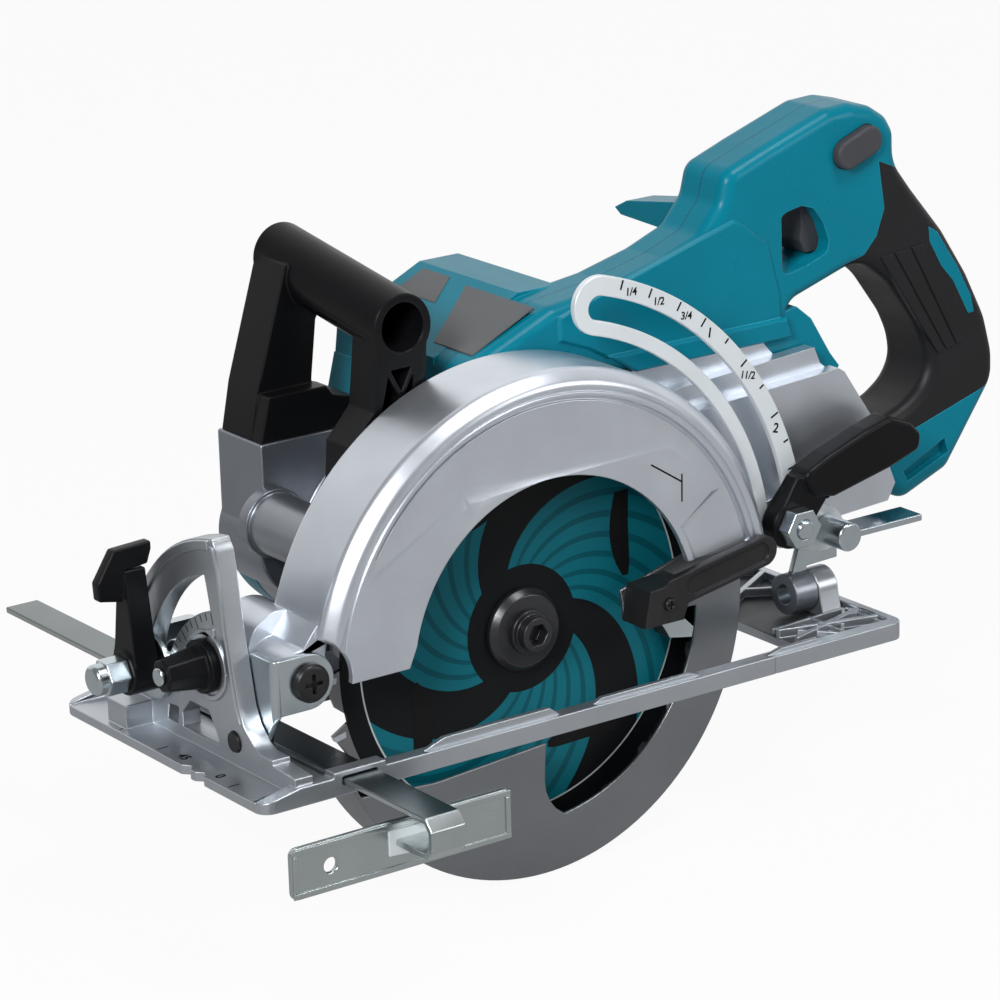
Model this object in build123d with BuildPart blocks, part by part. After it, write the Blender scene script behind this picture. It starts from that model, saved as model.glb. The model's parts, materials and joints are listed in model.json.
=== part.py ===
from build123d import *
import os
from math import atan2, cos, degrees, hypot, radians, sin, tan

# Cordless rear-handle circular saw, blade on the left, in millimetres.
# X runs to the rear, Y to the motor side and Z up. The origin lies on the sole,
# in the blade plane, straight below the depth pivot.

# Blade and spindle
BLADE_D = 185.0
BLADE_T = 1.8
BLADE_BORE = 15.88
BLADE_TEETH = 24
GULLET_DEPTH = 8.0
EXPANSION_SLOTS = 4
ARBOR_Z = 27.3
FLANGE_R = 17.0
FLANGE_T = 4.6
BOLT_HEAD_R = 9.0
BOLT_HEAD_T = 6.5
BOLT_SOCKET_AF = 8.0
BOLT_SHANK_R = 4.0
BOLT_LEN = 16.0
SPINDLE_R = 8.5
SPINDLE_END_Y = 44.0

# Gears, motor and bearings
GEAR_MODULE = 1.0
GEAR_TEETH = 50
PINION_TEETH = 15
GEAR_T = 10.0
GEAR_Y = 21.0
GEAR_LEAN = 127.0
BEARING_T = 8.0
SPINDLE_BEARING_R = 17.5
MOTOR_BEARING_R = 11.0
SHAFT_R = 4.5
STATOR_R = 31.0
STATOR_BORE = 17.2
STATOR_LEN = 38.0
ROTOR_R = 16.5
FAN_R = 30.0
FAN_BLADES = 11
FAN_T = 6.0
MOTOR_CASE_R = 42.0
MOTOR_CASE_WALL = 4.0

# Fits
RUN_GAP = 0.1
SIDE_GAP = 0.3
SEAT_GAP = 0.2
MOVE_GAP = 0.5

# Layers along Y, from the blade side to the motor side
UPPER_FACE_Y = -25.2
UPPER_FACE_T = 3.0
LOWER_FACE_Y = -14.0
LOWER_BACK_Y = 8.6
GUARD_SHEET = 1.6
UPPER_BACK_Y = 14.0
UPPER_BACK_T = 3.0
HOUSING_FACE_Y = UPPER_BACK_Y + SEAT_GAP
CASE_START_Y = 46.0
CASE_END_Y = 104.0
COVER_END_Y = 124.0
GUIDE_FACE_Y = -8.0
GUIDE_T = 3.0

# Guards
UPPER_R = 108.5
LOWER_R = UPPER_R - 9.5
UPPER_WALL = 5.5
UPPER_CHAMFER = 5.0
FACE_OPENING_R = 67.0
NOSE_R = 23.9
HUB_RING_T = 3.6
UPPER_FRONT_FOOT_Z = 33.0
UPPER_REAR_FOOT_Z = 47.0
LEVER_FACE_Y = -29.5
LEVER_REACH = LOWER_R + 5.0
LEVER_LEAN = 10.0
LEVER_W = 12.5
LEVER_SCREW_R = 2.5
LOWER_WINDOW_R = LOWER_R - 22.5
BACK_HOLE_R = 40.0
GROOVE_R = UPPER_R - 8.2
GROOVE_W = 1.0
GROOVE_DEPTH = 0.8
ARBOR_X = UPPER_R + 2.5

# Base
BASE_FRONT_X = -39.5
BASE_REAR_X = 268.5
BASE_BLADE_Y = -47.0
BASE_MOTOR_Y = 98.5
SOLE_T = 4.0
RIM_H = 7.5
RAIL_W = 6.5
WALL_W = 4.0
OPENING_FRONT_X = 11.5
OPENING_REAR_X = 222.0
OPENING_MOTOR_Y = 42.0
RIB_W = 2.5
TILT_Y = -4.0
TILT_Z = 13.5
TILT_PIN_R = 4.0

# Front quadrant of the base
QUADRANT_X = -24.0
QUADRANT_T = 8.0
ARCH_R = 78.0
ARCH_WINDOW_OUT = 64.0
ARCH_WINDOW_IN = 50.0
LOCK_R = 57.0
LOCK_LEAN = 16.0
TILT_RANGE = 53.0
LOCK_BOLT_R = 4.0
KNOB_Y = 13.0
KNOB_Z = 39.5
KNOB_R = 9.0
KNOB_LEN = 20.0
KNOB_SCREW_R = 2.0
STRAP_T = 3.0
STRAP_EYE_R = 8.0
STRAP_HALF = 11.0
WASHER_R = 13.0
WASHER_T = 2.5
LOCK_HUB_R = 9.0
LOCK_HUB_T = 12.0
LOCK_NUT_T = 9.0
LOCK_NUT_AF = 13.0
LOCK_LEVER_LEN = 41.0
LOCK_PAD_T = 5.0

# Depth swing and its guide
PIVOT_Z = 36.0
PIVOT_SCREW_R = 4.0
STRAP_FACE_Y = -20.0
DEPTH_RANGE = 35.0
GUIDE_RATIO = 0.5
CLAMP_X = 235.0
CLAMP_Z = 47.5
CLAMP_BOLT_R = 4.0
GUIDE_PIN_X = 259.0
GUIDE_PIN_Z = 39.0
GUIDE_PIN_R = 4.0
GUIDE_PIN_HEAD = 16.0
GUIDE_SLOT_GAP = 0.9
GUIDE_OUTER_STRIP = 8.0
GUIDE_INNER_STRIP = 6.0
GUIDE_EYE_R = 9.5
PIVOT_BOSS_R = 12.0
PIVOT_RECESS_R = 16.0
PIVOT_BODY_X = 4.0
PIVOT_BODY_Z = 42.0
PIVOT_BODY_R = 15.0
PIVOT_BODY_END_Y = 28.0
PIVOT_HEAD_R = 7.6
PIVOT_THREAD = 24.0

# Rear lug of the base
LUG_X = 252.0
LUG_T = 10.0
EYE_R = 8.5
EYE_T = 11.4
TAB_Z = 30.0
TAB_W = 14.0
TAB_END_X = 314.0

# Rip fence
FENCE_X = -4.0
FENCE_W = 15.0
FENCE_T = 2.5
FENCE_Z = 4.5
FENCE_GAP = 0.4
FENCE_OUT_Y = -100.0
FENCE_FAR_Y = 208.0
FENCE_PLATE_Y = -80.0
FENCE_PLATE_L = 97.0
FENCE_PLATE_H = 20.0
FENCE_LOW_Z = -20.0
FENCE_FOLD_Z = -9.5
FENCE_SCREW_R = 2.5
FENCE_HOLE_R = 3.0

# Gear housing
HUB_DRUM_R = 29.0
PLATE_R = 70.0
FLANGE_STEP = 4.0
ARM_TOP_Z = 115.8
ARM_REAR_X = 261.0
ARM_END_X = 245.0
TAIL_HIGH = (258.0, 101.0)
TAIL_LOW = (282.7, 93.0)
SLOPE_HIGH = (293.0, 77.0)
SLOPE_LOW = (309.0, 47.0)
SLOPE_SHARE = 0.37
STEP_Y = 8.0
ARM_FACE_Y = 2.0
RING_T = 0.8
SPRING_Y = 10.2
SPRING_R = 31.0
SPRING_WIRE_R = 0.7
SPRING_PITCH = 1.8
SPRING_TURNS = 1.4

# Depth clamp
CLAMP_BOSS_R = 8.5
CLAMP_END_Y = 12.0
CLAMP_HUB_R = 10.0
CLAMP_HUB_T = 9.0
CLAMP_LEVER_LEN = 67.0
PADDLE_OUTLINE = ((0.04, 0.31), (0.25, 0.40), (0.55, 0.50), (0.73, 0.545), (0.90, 0.475), (0.975, 0.40),
                  (0.965, 0.30), (0.73, 0.225), (0.29, 0.13), (0.13, 0.17))
PADDLE_R = 4.0
PADDLE_RISE = 2.5
CLAMP_NUT_T = 7.0
CLAMP_NUT_AF = 15.0

# Motor case pad and front casting
PAD_FRONT_X = 34.0
PAD_REAR_X = 80.0
PAD_Z = 102.7
PAD_Y = 62.0
PAD_END_Y = 94.0
FRONT_CASTING_R = 24.0

# Handle and housing
HANDLE_Y = 30.0
HANDLE_HALF = 15.6
HANDLE_CORNER_R = 8.0
GRIP_CURVE_R = 30.0
TRIGGER_HOLE_R = 3.0
HANDLE_EDGE_R = 5.5
HOUSING_WALL = 3.0
GRIP_T = 3.0
TRIGGER_TRAVEL = 8.0
TRIGGER_W = 17.0
TRIGGER_H = 23.5
TRIGGER_X = 270.0
TRIGGER_END_X = TRIGGER_X + 18.0
TRIGGER_Z = 158.2
BUTTON_L = 24.0
BUTTON_H = 12.5
BUTTON_X = 294.5
BUTTON_Z = 189.0
BUTTON_LEAN = 21.0
BUTTON_REACH = 19.6
SWITCH_W = 16.0
SWITCH_Z = 174.0
CONTROLLER_Z = 112.0
TERMINAL_W = 20.0
TERMINAL_L = 16.0
TERMINAL_DEPTH = 7.0
FOOT_LOW = (321.0, 32.5)
FOOT_HIGH = (346.0, 42.0)
RAIL_DEPTH = 3.0
HOUSING_SCREWS = ((190, 140), (238, 127), (234, 172), (311, 190), (320, 54))
HOUSING_SCREW_R = 1.8
HOUSING_HEAD_R = 3.5
HOUSING_HEAD_T = 2.5
PILLAR_R = 4.5
SCREW_BITE = 10.0
ROOF_END_Y = 106.0
HORN_X = 224.0
HORN_Z = 164.0
HORN_W = 14.0
HORN_END_Y = 84.0

# Front handle
BAR_R = 13.0
BAR_HOLE_R = 9.5
BAR_NEAR_X = 71.0
BAR_FAR_X = 66.0
BAR_NEAR_Z = 153.0
BAR_FAR_Z = 168.0
BAR_HOLE_DEPTH = 32.0
NEAR_LEG_Y = 15.0
LEG_T = 17.0
FAR_LEG_Y = 92.0
FAR_LEG_T = 22.0
FOOT_BLOCK_T = 29.0
FOOT_SCREW_Y = FAR_LEG_Y - 12.0
TUBE_X = 36.0
TUBE_Z = 72.0
TUBE_R = 12.5
HANDLE_FOOT_T = 14.0
FOOT_SCREWS_X = (48, 57)
FOOT_SCREW_BITE = 10.0
BUMPER_X = 26.0
BUMPER_Z = 51.0
BUMPER_W = 11.0
BUMPER_H = 15.0
GUARD_SCREW_R = 55.0
GUARD_SCREW_ANGLES = (60, 105, 150)

# Worked-out places
BLADE_R = BLADE_D / 2
GEAR_R = GEAR_MODULE * GEAR_TEETH / 2
PINION_R = GEAR_MODULE * PINION_TEETH / 2
MOTOR_X = ARBOR_X + (GEAR_R + PINION_R) * cos(radians(GEAR_LEAN))
MOTOR_Z = ARBOR_Z + (GEAR_R + PINION_R) * sin(radians(GEAR_LEAN))
LOCK_Y = TILT_Y + LOCK_R * cos(radians(LOCK_LEAN))
LOCK_Z = TILT_Z + LOCK_R * sin(radians(LOCK_LEAN))
STRAP_X = QUADRANT_X + QUADRANT_T + SIDE_GAP
EYE_END_X = LUG_X - SIDE_GAP


def at_y(y):
    """The plane at one Y: sketch axes are X and Z, and an extrusion runs towards -Y."""
    return Plane.XZ.offset(-y)


def at_x(x):
    """The plane at one X: sketch axes are Y and Z, and an extrusion runs towards +X."""
    return Plane.YZ.offset(x)


def fan(u, v, reach, start, stop):
    """Points of a wedge about (u, v) from one angle to another, in degrees."""
    count = max(2, int((stop - start) / 30) + 2)
    steps = [start + (stop - start) * i / (count - 1) for i in range(count)]
    return [(u, v)] + [(u + reach * cos(radians(a)), v + reach * sin(radians(a))) for a in steps]


def on_circle(u, v, r, angle):
    """A point on a circle."""
    return (u + r * cos(radians(angle)), v + r * sin(radians(angle)))


def turned(point, centre, angle):
    """A point turned about a centre in its own plane, in degrees."""
    du = point[0] - centre[0]
    dv = point[1] - centre[1]
    c = cos(radians(angle))
    s = sin(radians(angle))
    return (centre[0] + c * du - s * dv, centre[1] + s * du + c * dv)


def face_of(points, mode=Mode.ADD):
    """A face with straight edges through the points, in the sketch at hand."""
    Polygon(*points, align=None, mode=mode)


def ring_sector(u, v, r_in, r_out, start, stop, mode=Mode.ADD):
    """Part of a ring about (u, v) between two angles, in the sketch at hand."""
    ring = Location((u, v)) * (Circle(r_out, mode=Mode.PRIVATE) - Circle(r_in, mode=Mode.PRIVATE))
    wedge = Polygon(*fan(u, v, 2 * r_out, start, stop), align=None, mode=Mode.PRIVATE)
    add(ring & wedge, mode=mode)


def soften(sketch, points, radii):
    """Round each corner of an outline in the sketch at hand by its radius, as far as its edges allow."""
    before_points = points[-1:] + points[:-1]
    after_points = points[1:] + points[:1]
    for before, corner, after, radius in zip(before_points, points, after_points, radii):
        arrive = (corner[0] - before[0], corner[1] - before[1])
        leave = (after[0] - corner[0], after[1] - corner[1])
        across = arrive[0] * leave[1] - arrive[1] * leave[0]
        along = arrive[0] * leave[0] + arrive[1] * leave[1]
        turn = abs(atan2(across, along))
        reach = 0.45 * min(hypot(*arrive), hypot(*leave)) / tan(turn / 2)
        fillet(sketch.vertices().sort_by_distance((corner[0], corner[1], 0))[0], min(radius, reach))


def rod_x(y, z, r, x_low, x_high, mode=Mode.ADD):
    """A round bar along X in the part at hand."""
    with Locations(Location(((x_low + x_high) / 2, y, z))):
        Cylinder(r, x_high - x_low, rotation=(0, 90, 0), mode=mode)


def rod_y(x, z, r, y_low, y_high, mode=Mode.ADD):
    """A round bar along Y in the part at hand."""
    with Locations(Location((x, (y_low + y_high) / 2, z))):
        Cylinder(r, y_high - y_low, rotation=(90, 0, 0), mode=mode)


def circle_through(a, b, c):
    """Centre and radius of the circle through three points."""
    d = 2 * (a[0] * (b[1] - c[1]) + b[0] * (c[1] - a[1]) + c[0] * (a[1] - b[1]))
    squares = [p[0] ** 2 + p[1] ** 2 for p in (a, b, c)]
    u = (squares[0] * (b[1] - c[1]) + squares[1] * (c[1] - a[1]) + squares[2] * (a[1] - b[1])) / d
    v = (squares[0] * (c[0] - b[0]) + squares[1] * (a[0] - c[0]) + squares[2] * (b[0] - a[0])) / d
    return u, v, hypot(a[0] - u, a[1] - v)


def gear_points(teeth, module, phase):
    """The outline of a spur gear with relieved teeth, about its own centre."""
    pitch = module * teeth / 2
    tip = pitch + 0.7 * module
    root = pitch - 1.1 * module
    step = 360 / teeth
    shape = ((root, -0.36), (root, -0.27), (tip, -0.1), (tip, 0.1), (root, 0.27))
    return [on_circle(0, 0, r, phase + (i + part) * step) for i in range(teeth) for r, part in shape]


def on_foot(length, shallow, deep):
    """Corners of a block let into the middle of the handle foot, between two depths."""
    lean = atan2(FOOT_HIGH[1] - FOOT_LOW[1], FOOT_HIGH[0] - FOOT_LOW[0])
    mid = ((FOOT_LOW[0] + FOOT_HIGH[0]) / 2, (FOOT_LOW[1] + FOOT_HIGH[1]) / 2)
    corners = ((-length / 2, shallow), (length / 2, shallow), (length / 2, deep), (-length / 2, deep))
    return [turned((mid[0] + u, mid[1] + v), mid, degrees(lean)) for u, v in corners]


def clamp_path(angle):
    """Where the depth clamp bolt lies in the guide's own frame, at one depth angle."""
    bolt = turned((CLAMP_X, CLAMP_Z), (0, PIVOT_Z), angle)
    return turned(bolt, (GUIDE_PIN_X, GUIDE_PIN_Z), GUIDE_RATIO * angle)


def save(builder, name):
    """Label a finished piece and write it to its own file."""
    builder.part.label = name
    export_step(builder.part, f"parts/{name}.step")


os.makedirs("parts", exist_ok=True)

# Base plate: sole, rims, ribs, fence guides, quadrant and rear lug in one casting
quadrant_window = (LOCK_LEAN - 6, LOCK_LEAN + TILT_RANGE + 6)
with BuildPart() as base_plate:
    with BuildSketch():
        with Locations(((BASE_FRONT_X + BASE_REAR_X) / 2, (BASE_BLADE_Y + BASE_MOTOR_Y) / 2)):
            RectangleRounded(BASE_REAR_X - BASE_FRONT_X, BASE_MOTOR_Y - BASE_BLADE_Y, 6)
    extrude(amount=RIM_H)
    # Floor inside the rims
    with BuildSketch(Plane.XY.offset(SOLE_T)):
        face_of([(BASE_FRONT_X - 1, BASE_BLADE_Y + RAIL_W), (BASE_REAR_X - WALL_W, BASE_BLADE_Y + RAIL_W),
                 (BASE_REAR_X - WALL_W, BASE_MOTOR_Y - WALL_W), (BASE_FRONT_X - 1, BASE_MOTOR_Y - WALL_W)])
    extrude(amount=RIM_H, mode=Mode.SUBTRACT)
    # Front end of the rims comes down to the sole
    with BuildSketch(at_y(BASE_MOTOR_Y + 1)):
        face_of([(BASE_FRONT_X - 1, SOLE_T), (BASE_FRONT_X + 22, RIM_H + 1), (BASE_FRONT_X - 1, RIM_H + 1)])
    extrude(amount=BASE_MOTOR_Y - BASE_BLADE_Y + 2, mode=Mode.SUBTRACT)
    # Rim and lattice ribs round the blade opening
    with BuildSketch(Plane.XY.offset(SOLE_T / 2)):
        with Locations(((OPENING_FRONT_X + OPENING_REAR_X) / 2, OPENING_MOTOR_Y + RIB_W / 2)):
            Rectangle(OPENING_REAR_X - OPENING_FRONT_X, RIB_W)
        rear_mid = (OPENING_REAR_X + BASE_REAR_X - WALL_W) / 2
        rear_len = BASE_REAR_X - WALL_W - OPENING_REAR_X
        for y0, y1 in ((-34, -22), (-22, -34), (14, 40), (40, 14), (46, 70), (70, 46)):
            lean = degrees(atan2(y1 - y0, rear_len))
            with Locations(Location((rear_mid, (y0 + y1) / 2), lean)):
                Rectangle(hypot(rear_len, y1 - y0), RIB_W)
        for x in (50, 100, 150, 200):
            with Locations((x, (OPENING_MOTOR_Y + BASE_MOTOR_Y) / 2)):
                Rectangle(RIB_W, BASE_MOTOR_Y - OPENING_MOTOR_Y - RIB_W)
    extrude(amount=RIM_H - SOLE_T / 2)
    # Fence guides, one on each side
    with BuildSketch():
        for y0, y1 in ((BASE_BLADE_Y, BASE_BLADE_Y + RAIL_W), (BASE_MOTOR_Y - 24, BASE_MOTOR_Y)):
            with Locations((FENCE_X + FENCE_W / 2, (y0 + y1) / 2)):
                Rectangle(FENCE_W + 2 * WALL_W, y1 - y0)
    extrude(amount=FENCE_Z + FENCE_T + 2.5)
    with BuildSketch(at_y(BASE_MOTOR_Y + 1)):
        with Locations((FENCE_X + FENCE_W / 2, FENCE_Z + FENCE_T / 2)):
            Rectangle(FENCE_W + 2 * FENCE_GAP, FENCE_T + 2 * FENCE_GAP)
    extrude(amount=BASE_MOTOR_Y - BASE_BLADE_Y + 2, mode=Mode.SUBTRACT)
    with Locations(Location((FENCE_X + FENCE_W / 2, BASE_MOTOR_Y - 12, FENCE_Z + FENCE_T))):
        Cylinder(FENCE_SCREW_R, 30, align=(Align.CENTER, Align.CENTER, Align.MIN), mode=Mode.SUBTRACT)
    # Blade opening
    with BuildSketch():
        with Locations(((OPENING_FRONT_X + OPENING_REAR_X) / 2,
                        (BASE_BLADE_Y + RAIL_W + OPENING_MOTOR_Y) / 2)):
            RectangleRounded(OPENING_REAR_X - OPENING_FRONT_X, OPENING_MOTOR_Y - BASE_BLADE_Y - RAIL_W, 4)
    extrude(amount=RIM_H + 20, mode=Mode.SUBTRACT)
    # Quadrant: arch, inner sector, right leg and foot
    with BuildSketch(at_x(QUADRANT_X)):
        ring_sector(TILT_Y, TILT_Z, 0.01, ARCH_R, 0, 83)
        ring_sector(TILT_Y, TILT_Z, ARCH_WINDOW_IN, ARCH_WINDOW_OUT, *quadrant_window, mode=Mode.SUBTRACT)
        face_of([(5, 90), (2.5, 86), (-2, 56), (-7.8, 28), (-11, 21), (-17, 15.5), (-25, 11.8),
                 (BASE_BLADE_Y + 2, 10.5), (BASE_BLADE_Y + 2, SOLE_T / 2), (16, SOLE_T / 2), (9, 40),
                 (9, 88.5)])
        face_of([(-30, SOLE_T / 2), (ARCH_R - 4, SOLE_T / 2), (ARCH_R - 4, TILT_Z), (-30, TILT_Z)])
        with Locations((TILT_Y, TILT_Z)):
            Circle(TILT_PIN_R + RUN_GAP, mode=Mode.SUBTRACT)
        with Locations((KNOB_Y, KNOB_Z)):
            Circle(KNOB_R / 2 + SIDE_GAP, mode=Mode.SUBTRACT)
    extrude(amount=QUADRANT_T)
    # Upright stop beside the quadrant
    with Locations(Location((QUADRANT_X - 4, ARCH_R - 15, SOLE_T / 2))):
        Box(16, 14, TILT_Z - SOLE_T / 2, align=(Align.CENTER, Align.CENTER, Align.MIN))
    # Rear lug
    with BuildSketch(at_x(LUG_X)):
        with Locations((TILT_Y, TILT_Z)):
            Circle(EYE_R)
        face_of([(TILT_Y - EYE_R - 3, SOLE_T / 2), (TILT_Y + EYE_R + 3, SOLE_T / 2),
                 (TILT_Y + EYE_R, TILT_Z), (TILT_Y - EYE_R, TILT_Z)])
        with Locations((TILT_Y, TILT_Z)):
            Circle(TILT_PIN_R + RUN_GAP, mode=Mode.SUBTRACT)
    extrude(amount=LUG_T)
save(base_plate, "base_plate")

# Front bracket: a bent strap behind the quadrant, hinged at its foot, carrying the depth pivot
with BuildPart() as front_bracket:
    with BuildSketch(at_x(STRAP_X)):
        with Locations((TILT_Y, TILT_Z)):
            Circle(STRAP_EYE_R)
        with Locations((LOCK_Y, LOCK_Z)):
            Circle(STRAP_EYE_R)
        with Locations(Location(((TILT_Y + LOCK_Y) / 2, (TILT_Z + LOCK_Z) / 2), LOCK_LEAN)):
            Rectangle(LOCK_R, 1.6 * STRAP_EYE_R)
        face_of([(STRAP_FACE_Y, PIVOT_Z - STRAP_HALF), (TILT_Y - STRAP_EYE_R, TILT_Z),
                 (TILT_Y + STRAP_EYE_R, TILT_Z), (TILT_Y, PIVOT_Z + STRAP_HALF),
                 (STRAP_FACE_Y, PIVOT_Z + STRAP_HALF)])
        with Locations((TILT_Y, TILT_Z)):
            Circle(TILT_PIN_R, mode=Mode.SUBTRACT)
        with Locations((LOCK_Y, LOCK_Z)):
            Circle(LOCK_BOLT_R, mode=Mode.SUBTRACT)
    extrude(amount=STRAP_T)
    with BuildSketch(at_y(STRAP_FACE_Y + STRAP_T)):
        with Locations((0, PIVOT_Z)):
            Circle(STRAP_HALF)
        with Locations((STRAP_X / 2, PIVOT_Z)):
            Rectangle(-STRAP_X, 2 * STRAP_HALF)
        with Locations((0, PIVOT_Z)):
            Circle(PIVOT_SCREW_R + RUN_GAP, mode=Mode.SUBTRACT)
    extrude(amount=STRAP_T)
    bend = front_bracket.edges().filter_by(Axis.Z).group_by(Axis.Y)[0].group_by(Axis.X)[0]
    fillet(bend, STRAP_T)
save(front_bracket, "front_bracket")

# Pins of the tilt axis, one in each bracket
with BuildPart() as front_pivot_pin:
    rod_x(TILT_Y, TILT_Z, TILT_PIN_R, QUADRANT_X - 1, STRAP_X + STRAP_T)
    rod_x(TILT_Y, TILT_Z, TILT_PIN_R + 2, STRAP_X + STRAP_T, STRAP_X + STRAP_T + 2.5)
save(front_pivot_pin, "front_pivot_pin")

with BuildPart() as rear_pivot_pin:
    rod_x(TILT_Y, TILT_Z, TILT_PIN_R, EYE_END_X - EYE_T + 3, LUG_X + LUG_T + 1.5)
save(rear_pivot_pin, "rear_pivot_pin")

# Bevel lock: bolt, washer, lever and cap nut on one axis along X
washer_x = QUADRANT_X - SIDE_GAP - WASHER_T
lever_x = washer_x - SEAT_GAP - LOCK_HUB_T
nut_x = lever_x - SEAT_GAP - LOCK_NUT_T
with BuildPart() as bevel_lock_bolt:
    rod_x(LOCK_Y, LOCK_Z, LOCK_BOLT_R, nut_x - 1, STRAP_X + STRAP_T)
    rod_x(LOCK_Y, LOCK_Z, LOCK_BOLT_R + 3, STRAP_X + STRAP_T, STRAP_X + STRAP_T + 4)
save(bevel_lock_bolt, "bevel_lock_bolt")

with BuildPart() as bevel_washer:
    rod_x(LOCK_Y, LOCK_Z, WASHER_R, washer_x, washer_x + WASHER_T)
    rod_x(LOCK_Y, LOCK_Z, LOCK_BOLT_R, washer_x, washer_x + WASHER_T, Mode.SUBTRACT)
save(bevel_washer, "bevel_washer")

with BuildPart() as bevel_lock_nut:
    with BuildSketch(at_x(nut_x)):
        with Locations((LOCK_Y, LOCK_Z)):
            RegularPolygon(LOCK_NUT_AF / 2, 6, major_radius=False)
    extrude(amount=LOCK_NUT_T)
    rod_x(LOCK_Y, LOCK_Z, LOCK_NUT_AF / 2 - 0.5, nut_x - 5, nut_x)
    fillet(bevel_lock_nut.faces().sort_by(Axis.X)[0].edges(), 2)
    rod_x(LOCK_Y, LOCK_Z, LOCK_BOLT_R, nut_x - 1, nut_x + LOCK_NUT_T, Mode.SUBTRACT)
save(bevel_lock_nut, "bevel_lock_nut")

pad_z = LOCK_Z + LOCK_LEVER_LEN
pad_points = [(lever_x + 1, pad_z), (lever_x + 3, pad_z - 5), (lever_x + 0.4, pad_z - 12),
              (lever_x - 9.8, pad_z - 10), (lever_x - 10.2, pad_z - 3), (lever_x - 2.5, pad_z + 9),
              (lever_x + LOCK_HUB_T + 2, pad_z + 9.8), (lever_x + LOCK_HUB_T + 2, pad_z + 6.6),
              (lever_x + LOCK_HUB_T, pad_z + 1)]
with BuildPart() as bevel_lock_lever:
    rod_x(LOCK_Y, LOCK_Z, LOCK_HUB_R, lever_x, lever_x + LOCK_HUB_T)
    with BuildSketch(at_x(lever_x + 1)):
        face_of([(LOCK_Y - LOCK_HUB_R, LOCK_Z), (LOCK_Y + LOCK_HUB_R, LOCK_Z),
                 (LOCK_Y + LOCK_PAD_T / 2, pad_z), (LOCK_Y - LOCK_PAD_T / 2, pad_z)])
    extrude(amount=LOCK_HUB_T - 2)
    with BuildSketch(at_y(LOCK_Y + LOCK_PAD_T / 2)):
        face_of(pad_points)
    extrude(amount=LOCK_PAD_T)
    rod_x(LOCK_Y, LOCK_Z, LOCK_BOLT_R + RUN_GAP, lever_x - 5, lever_x + LOCK_HUB_T + 5, Mode.SUBTRACT)
save(bevel_lock_lever, "bevel_lock_lever")

# Positive-stop knob in the quadrant, with its screw
knob_x = QUADRANT_X - SIDE_GAP - KNOB_LEN
with BuildPart() as positive_stop_knob:
    rod_x(KNOB_Y, KNOB_Z, KNOB_R + 1.5, QUADRANT_X - SIDE_GAP - 4, QUADRANT_X - SIDE_GAP)
    with BuildSketch(at_x(QUADRANT_X - SIDE_GAP - 4)):
        with Locations((KNOB_Y, KNOB_Z)):
            RegularPolygon(KNOB_R, 8)
    extrude(amount=-(KNOB_LEN - 4), taper=8)
    rod_x(KNOB_Y, KNOB_Z, KNOB_R / 2, QUADRANT_X - SIDE_GAP, QUADRANT_X + QUADRANT_T)
    rod_x(KNOB_Y, KNOB_Z, KNOB_SCREW_R, knob_x, knob_x + 12, Mode.SUBTRACT)
save(positive_stop_knob, "positive_stop_knob")

with BuildPart() as knob_screw:
    rod_x(KNOB_Y, KNOB_Z, KNOB_SCREW_R, knob_x, knob_x + 12)
    rod_x(KNOB_Y, KNOB_Z, KNOB_SCREW_R + 1.5, knob_x - 2, knob_x)
    fillet(knob_screw.faces().sort_by(Axis.X)[0].edges(), 0.8)
save(knob_screw, "knob_screw")

# Rear bracket: an eye on the tilt axis, an upright plate and a rearward tab
plate_y = GUIDE_FACE_Y + GUIDE_T + SIDE_GAP
eye_x = EYE_END_X - EYE_T
with BuildPart() as rear_bracket:
    rod_x(TILT_Y, TILT_Z, EYE_R, eye_x, EYE_END_X)
    with BuildSketch(at_y(plate_y + STRAP_T)):
        face_of([(eye_x, TILT_Z), (EYE_END_X, TILT_Z), (EYE_END_X, TILT_Z + EYE_R + 1.5),
                 (GUIDE_PIN_X + 9, TILT_Z + EYE_R + 2), (GUIDE_PIN_X + 9, GUIDE_PIN_Z),
                 (GUIDE_PIN_X - 9, GUIDE_PIN_Z), (eye_x + 4, TILT_Z + EYE_R)])
        with Locations((GUIDE_PIN_X, GUIDE_PIN_Z)):
            Circle(9)
        with Locations((GUIDE_PIN_X, GUIDE_PIN_Z)):
            Circle(GUIDE_PIN_R, mode=Mode.SUBTRACT)
    extrude(amount=STRAP_T)
    with BuildSketch(at_y(plate_y + TAB_W)):
        face_of([(GUIDE_PIN_X + 4, TAB_Z - 3), (GUIDE_PIN_X + 14, TAB_Z), (TAB_END_X, TAB_Z),
                 (TAB_END_X, TAB_Z + STRAP_T), (GUIDE_PIN_X + 12, TAB_Z + STRAP_T),
                 (GUIDE_PIN_X + 4, TAB_Z)])
    extrude(amount=TAB_W)
    rod_x(TILT_Y, TILT_Z, TILT_PIN_R, eye_x - 1, EYE_END_X + 1, Mode.SUBTRACT)
save(rear_bracket, "rear_bracket")

with BuildPart() as guide_pin:
    rod_y(GUIDE_PIN_X, GUIDE_PIN_Z, GUIDE_PIN_R, GUIDE_FACE_Y - SIDE_GAP, plate_y + STRAP_T)
    rod_y(GUIDE_PIN_X, GUIDE_PIN_Z, GUIDE_PIN_R + 2, GUIDE_FACE_Y - SIDE_GAP - GUIDE_PIN_HEAD,
          GUIDE_FACE_Y - SIDE_GAP)
    fillet(guide_pin.faces().sort_by(Axis.Y)[0].edges(), 1.2)
save(guide_pin, "guide_pin")

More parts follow.
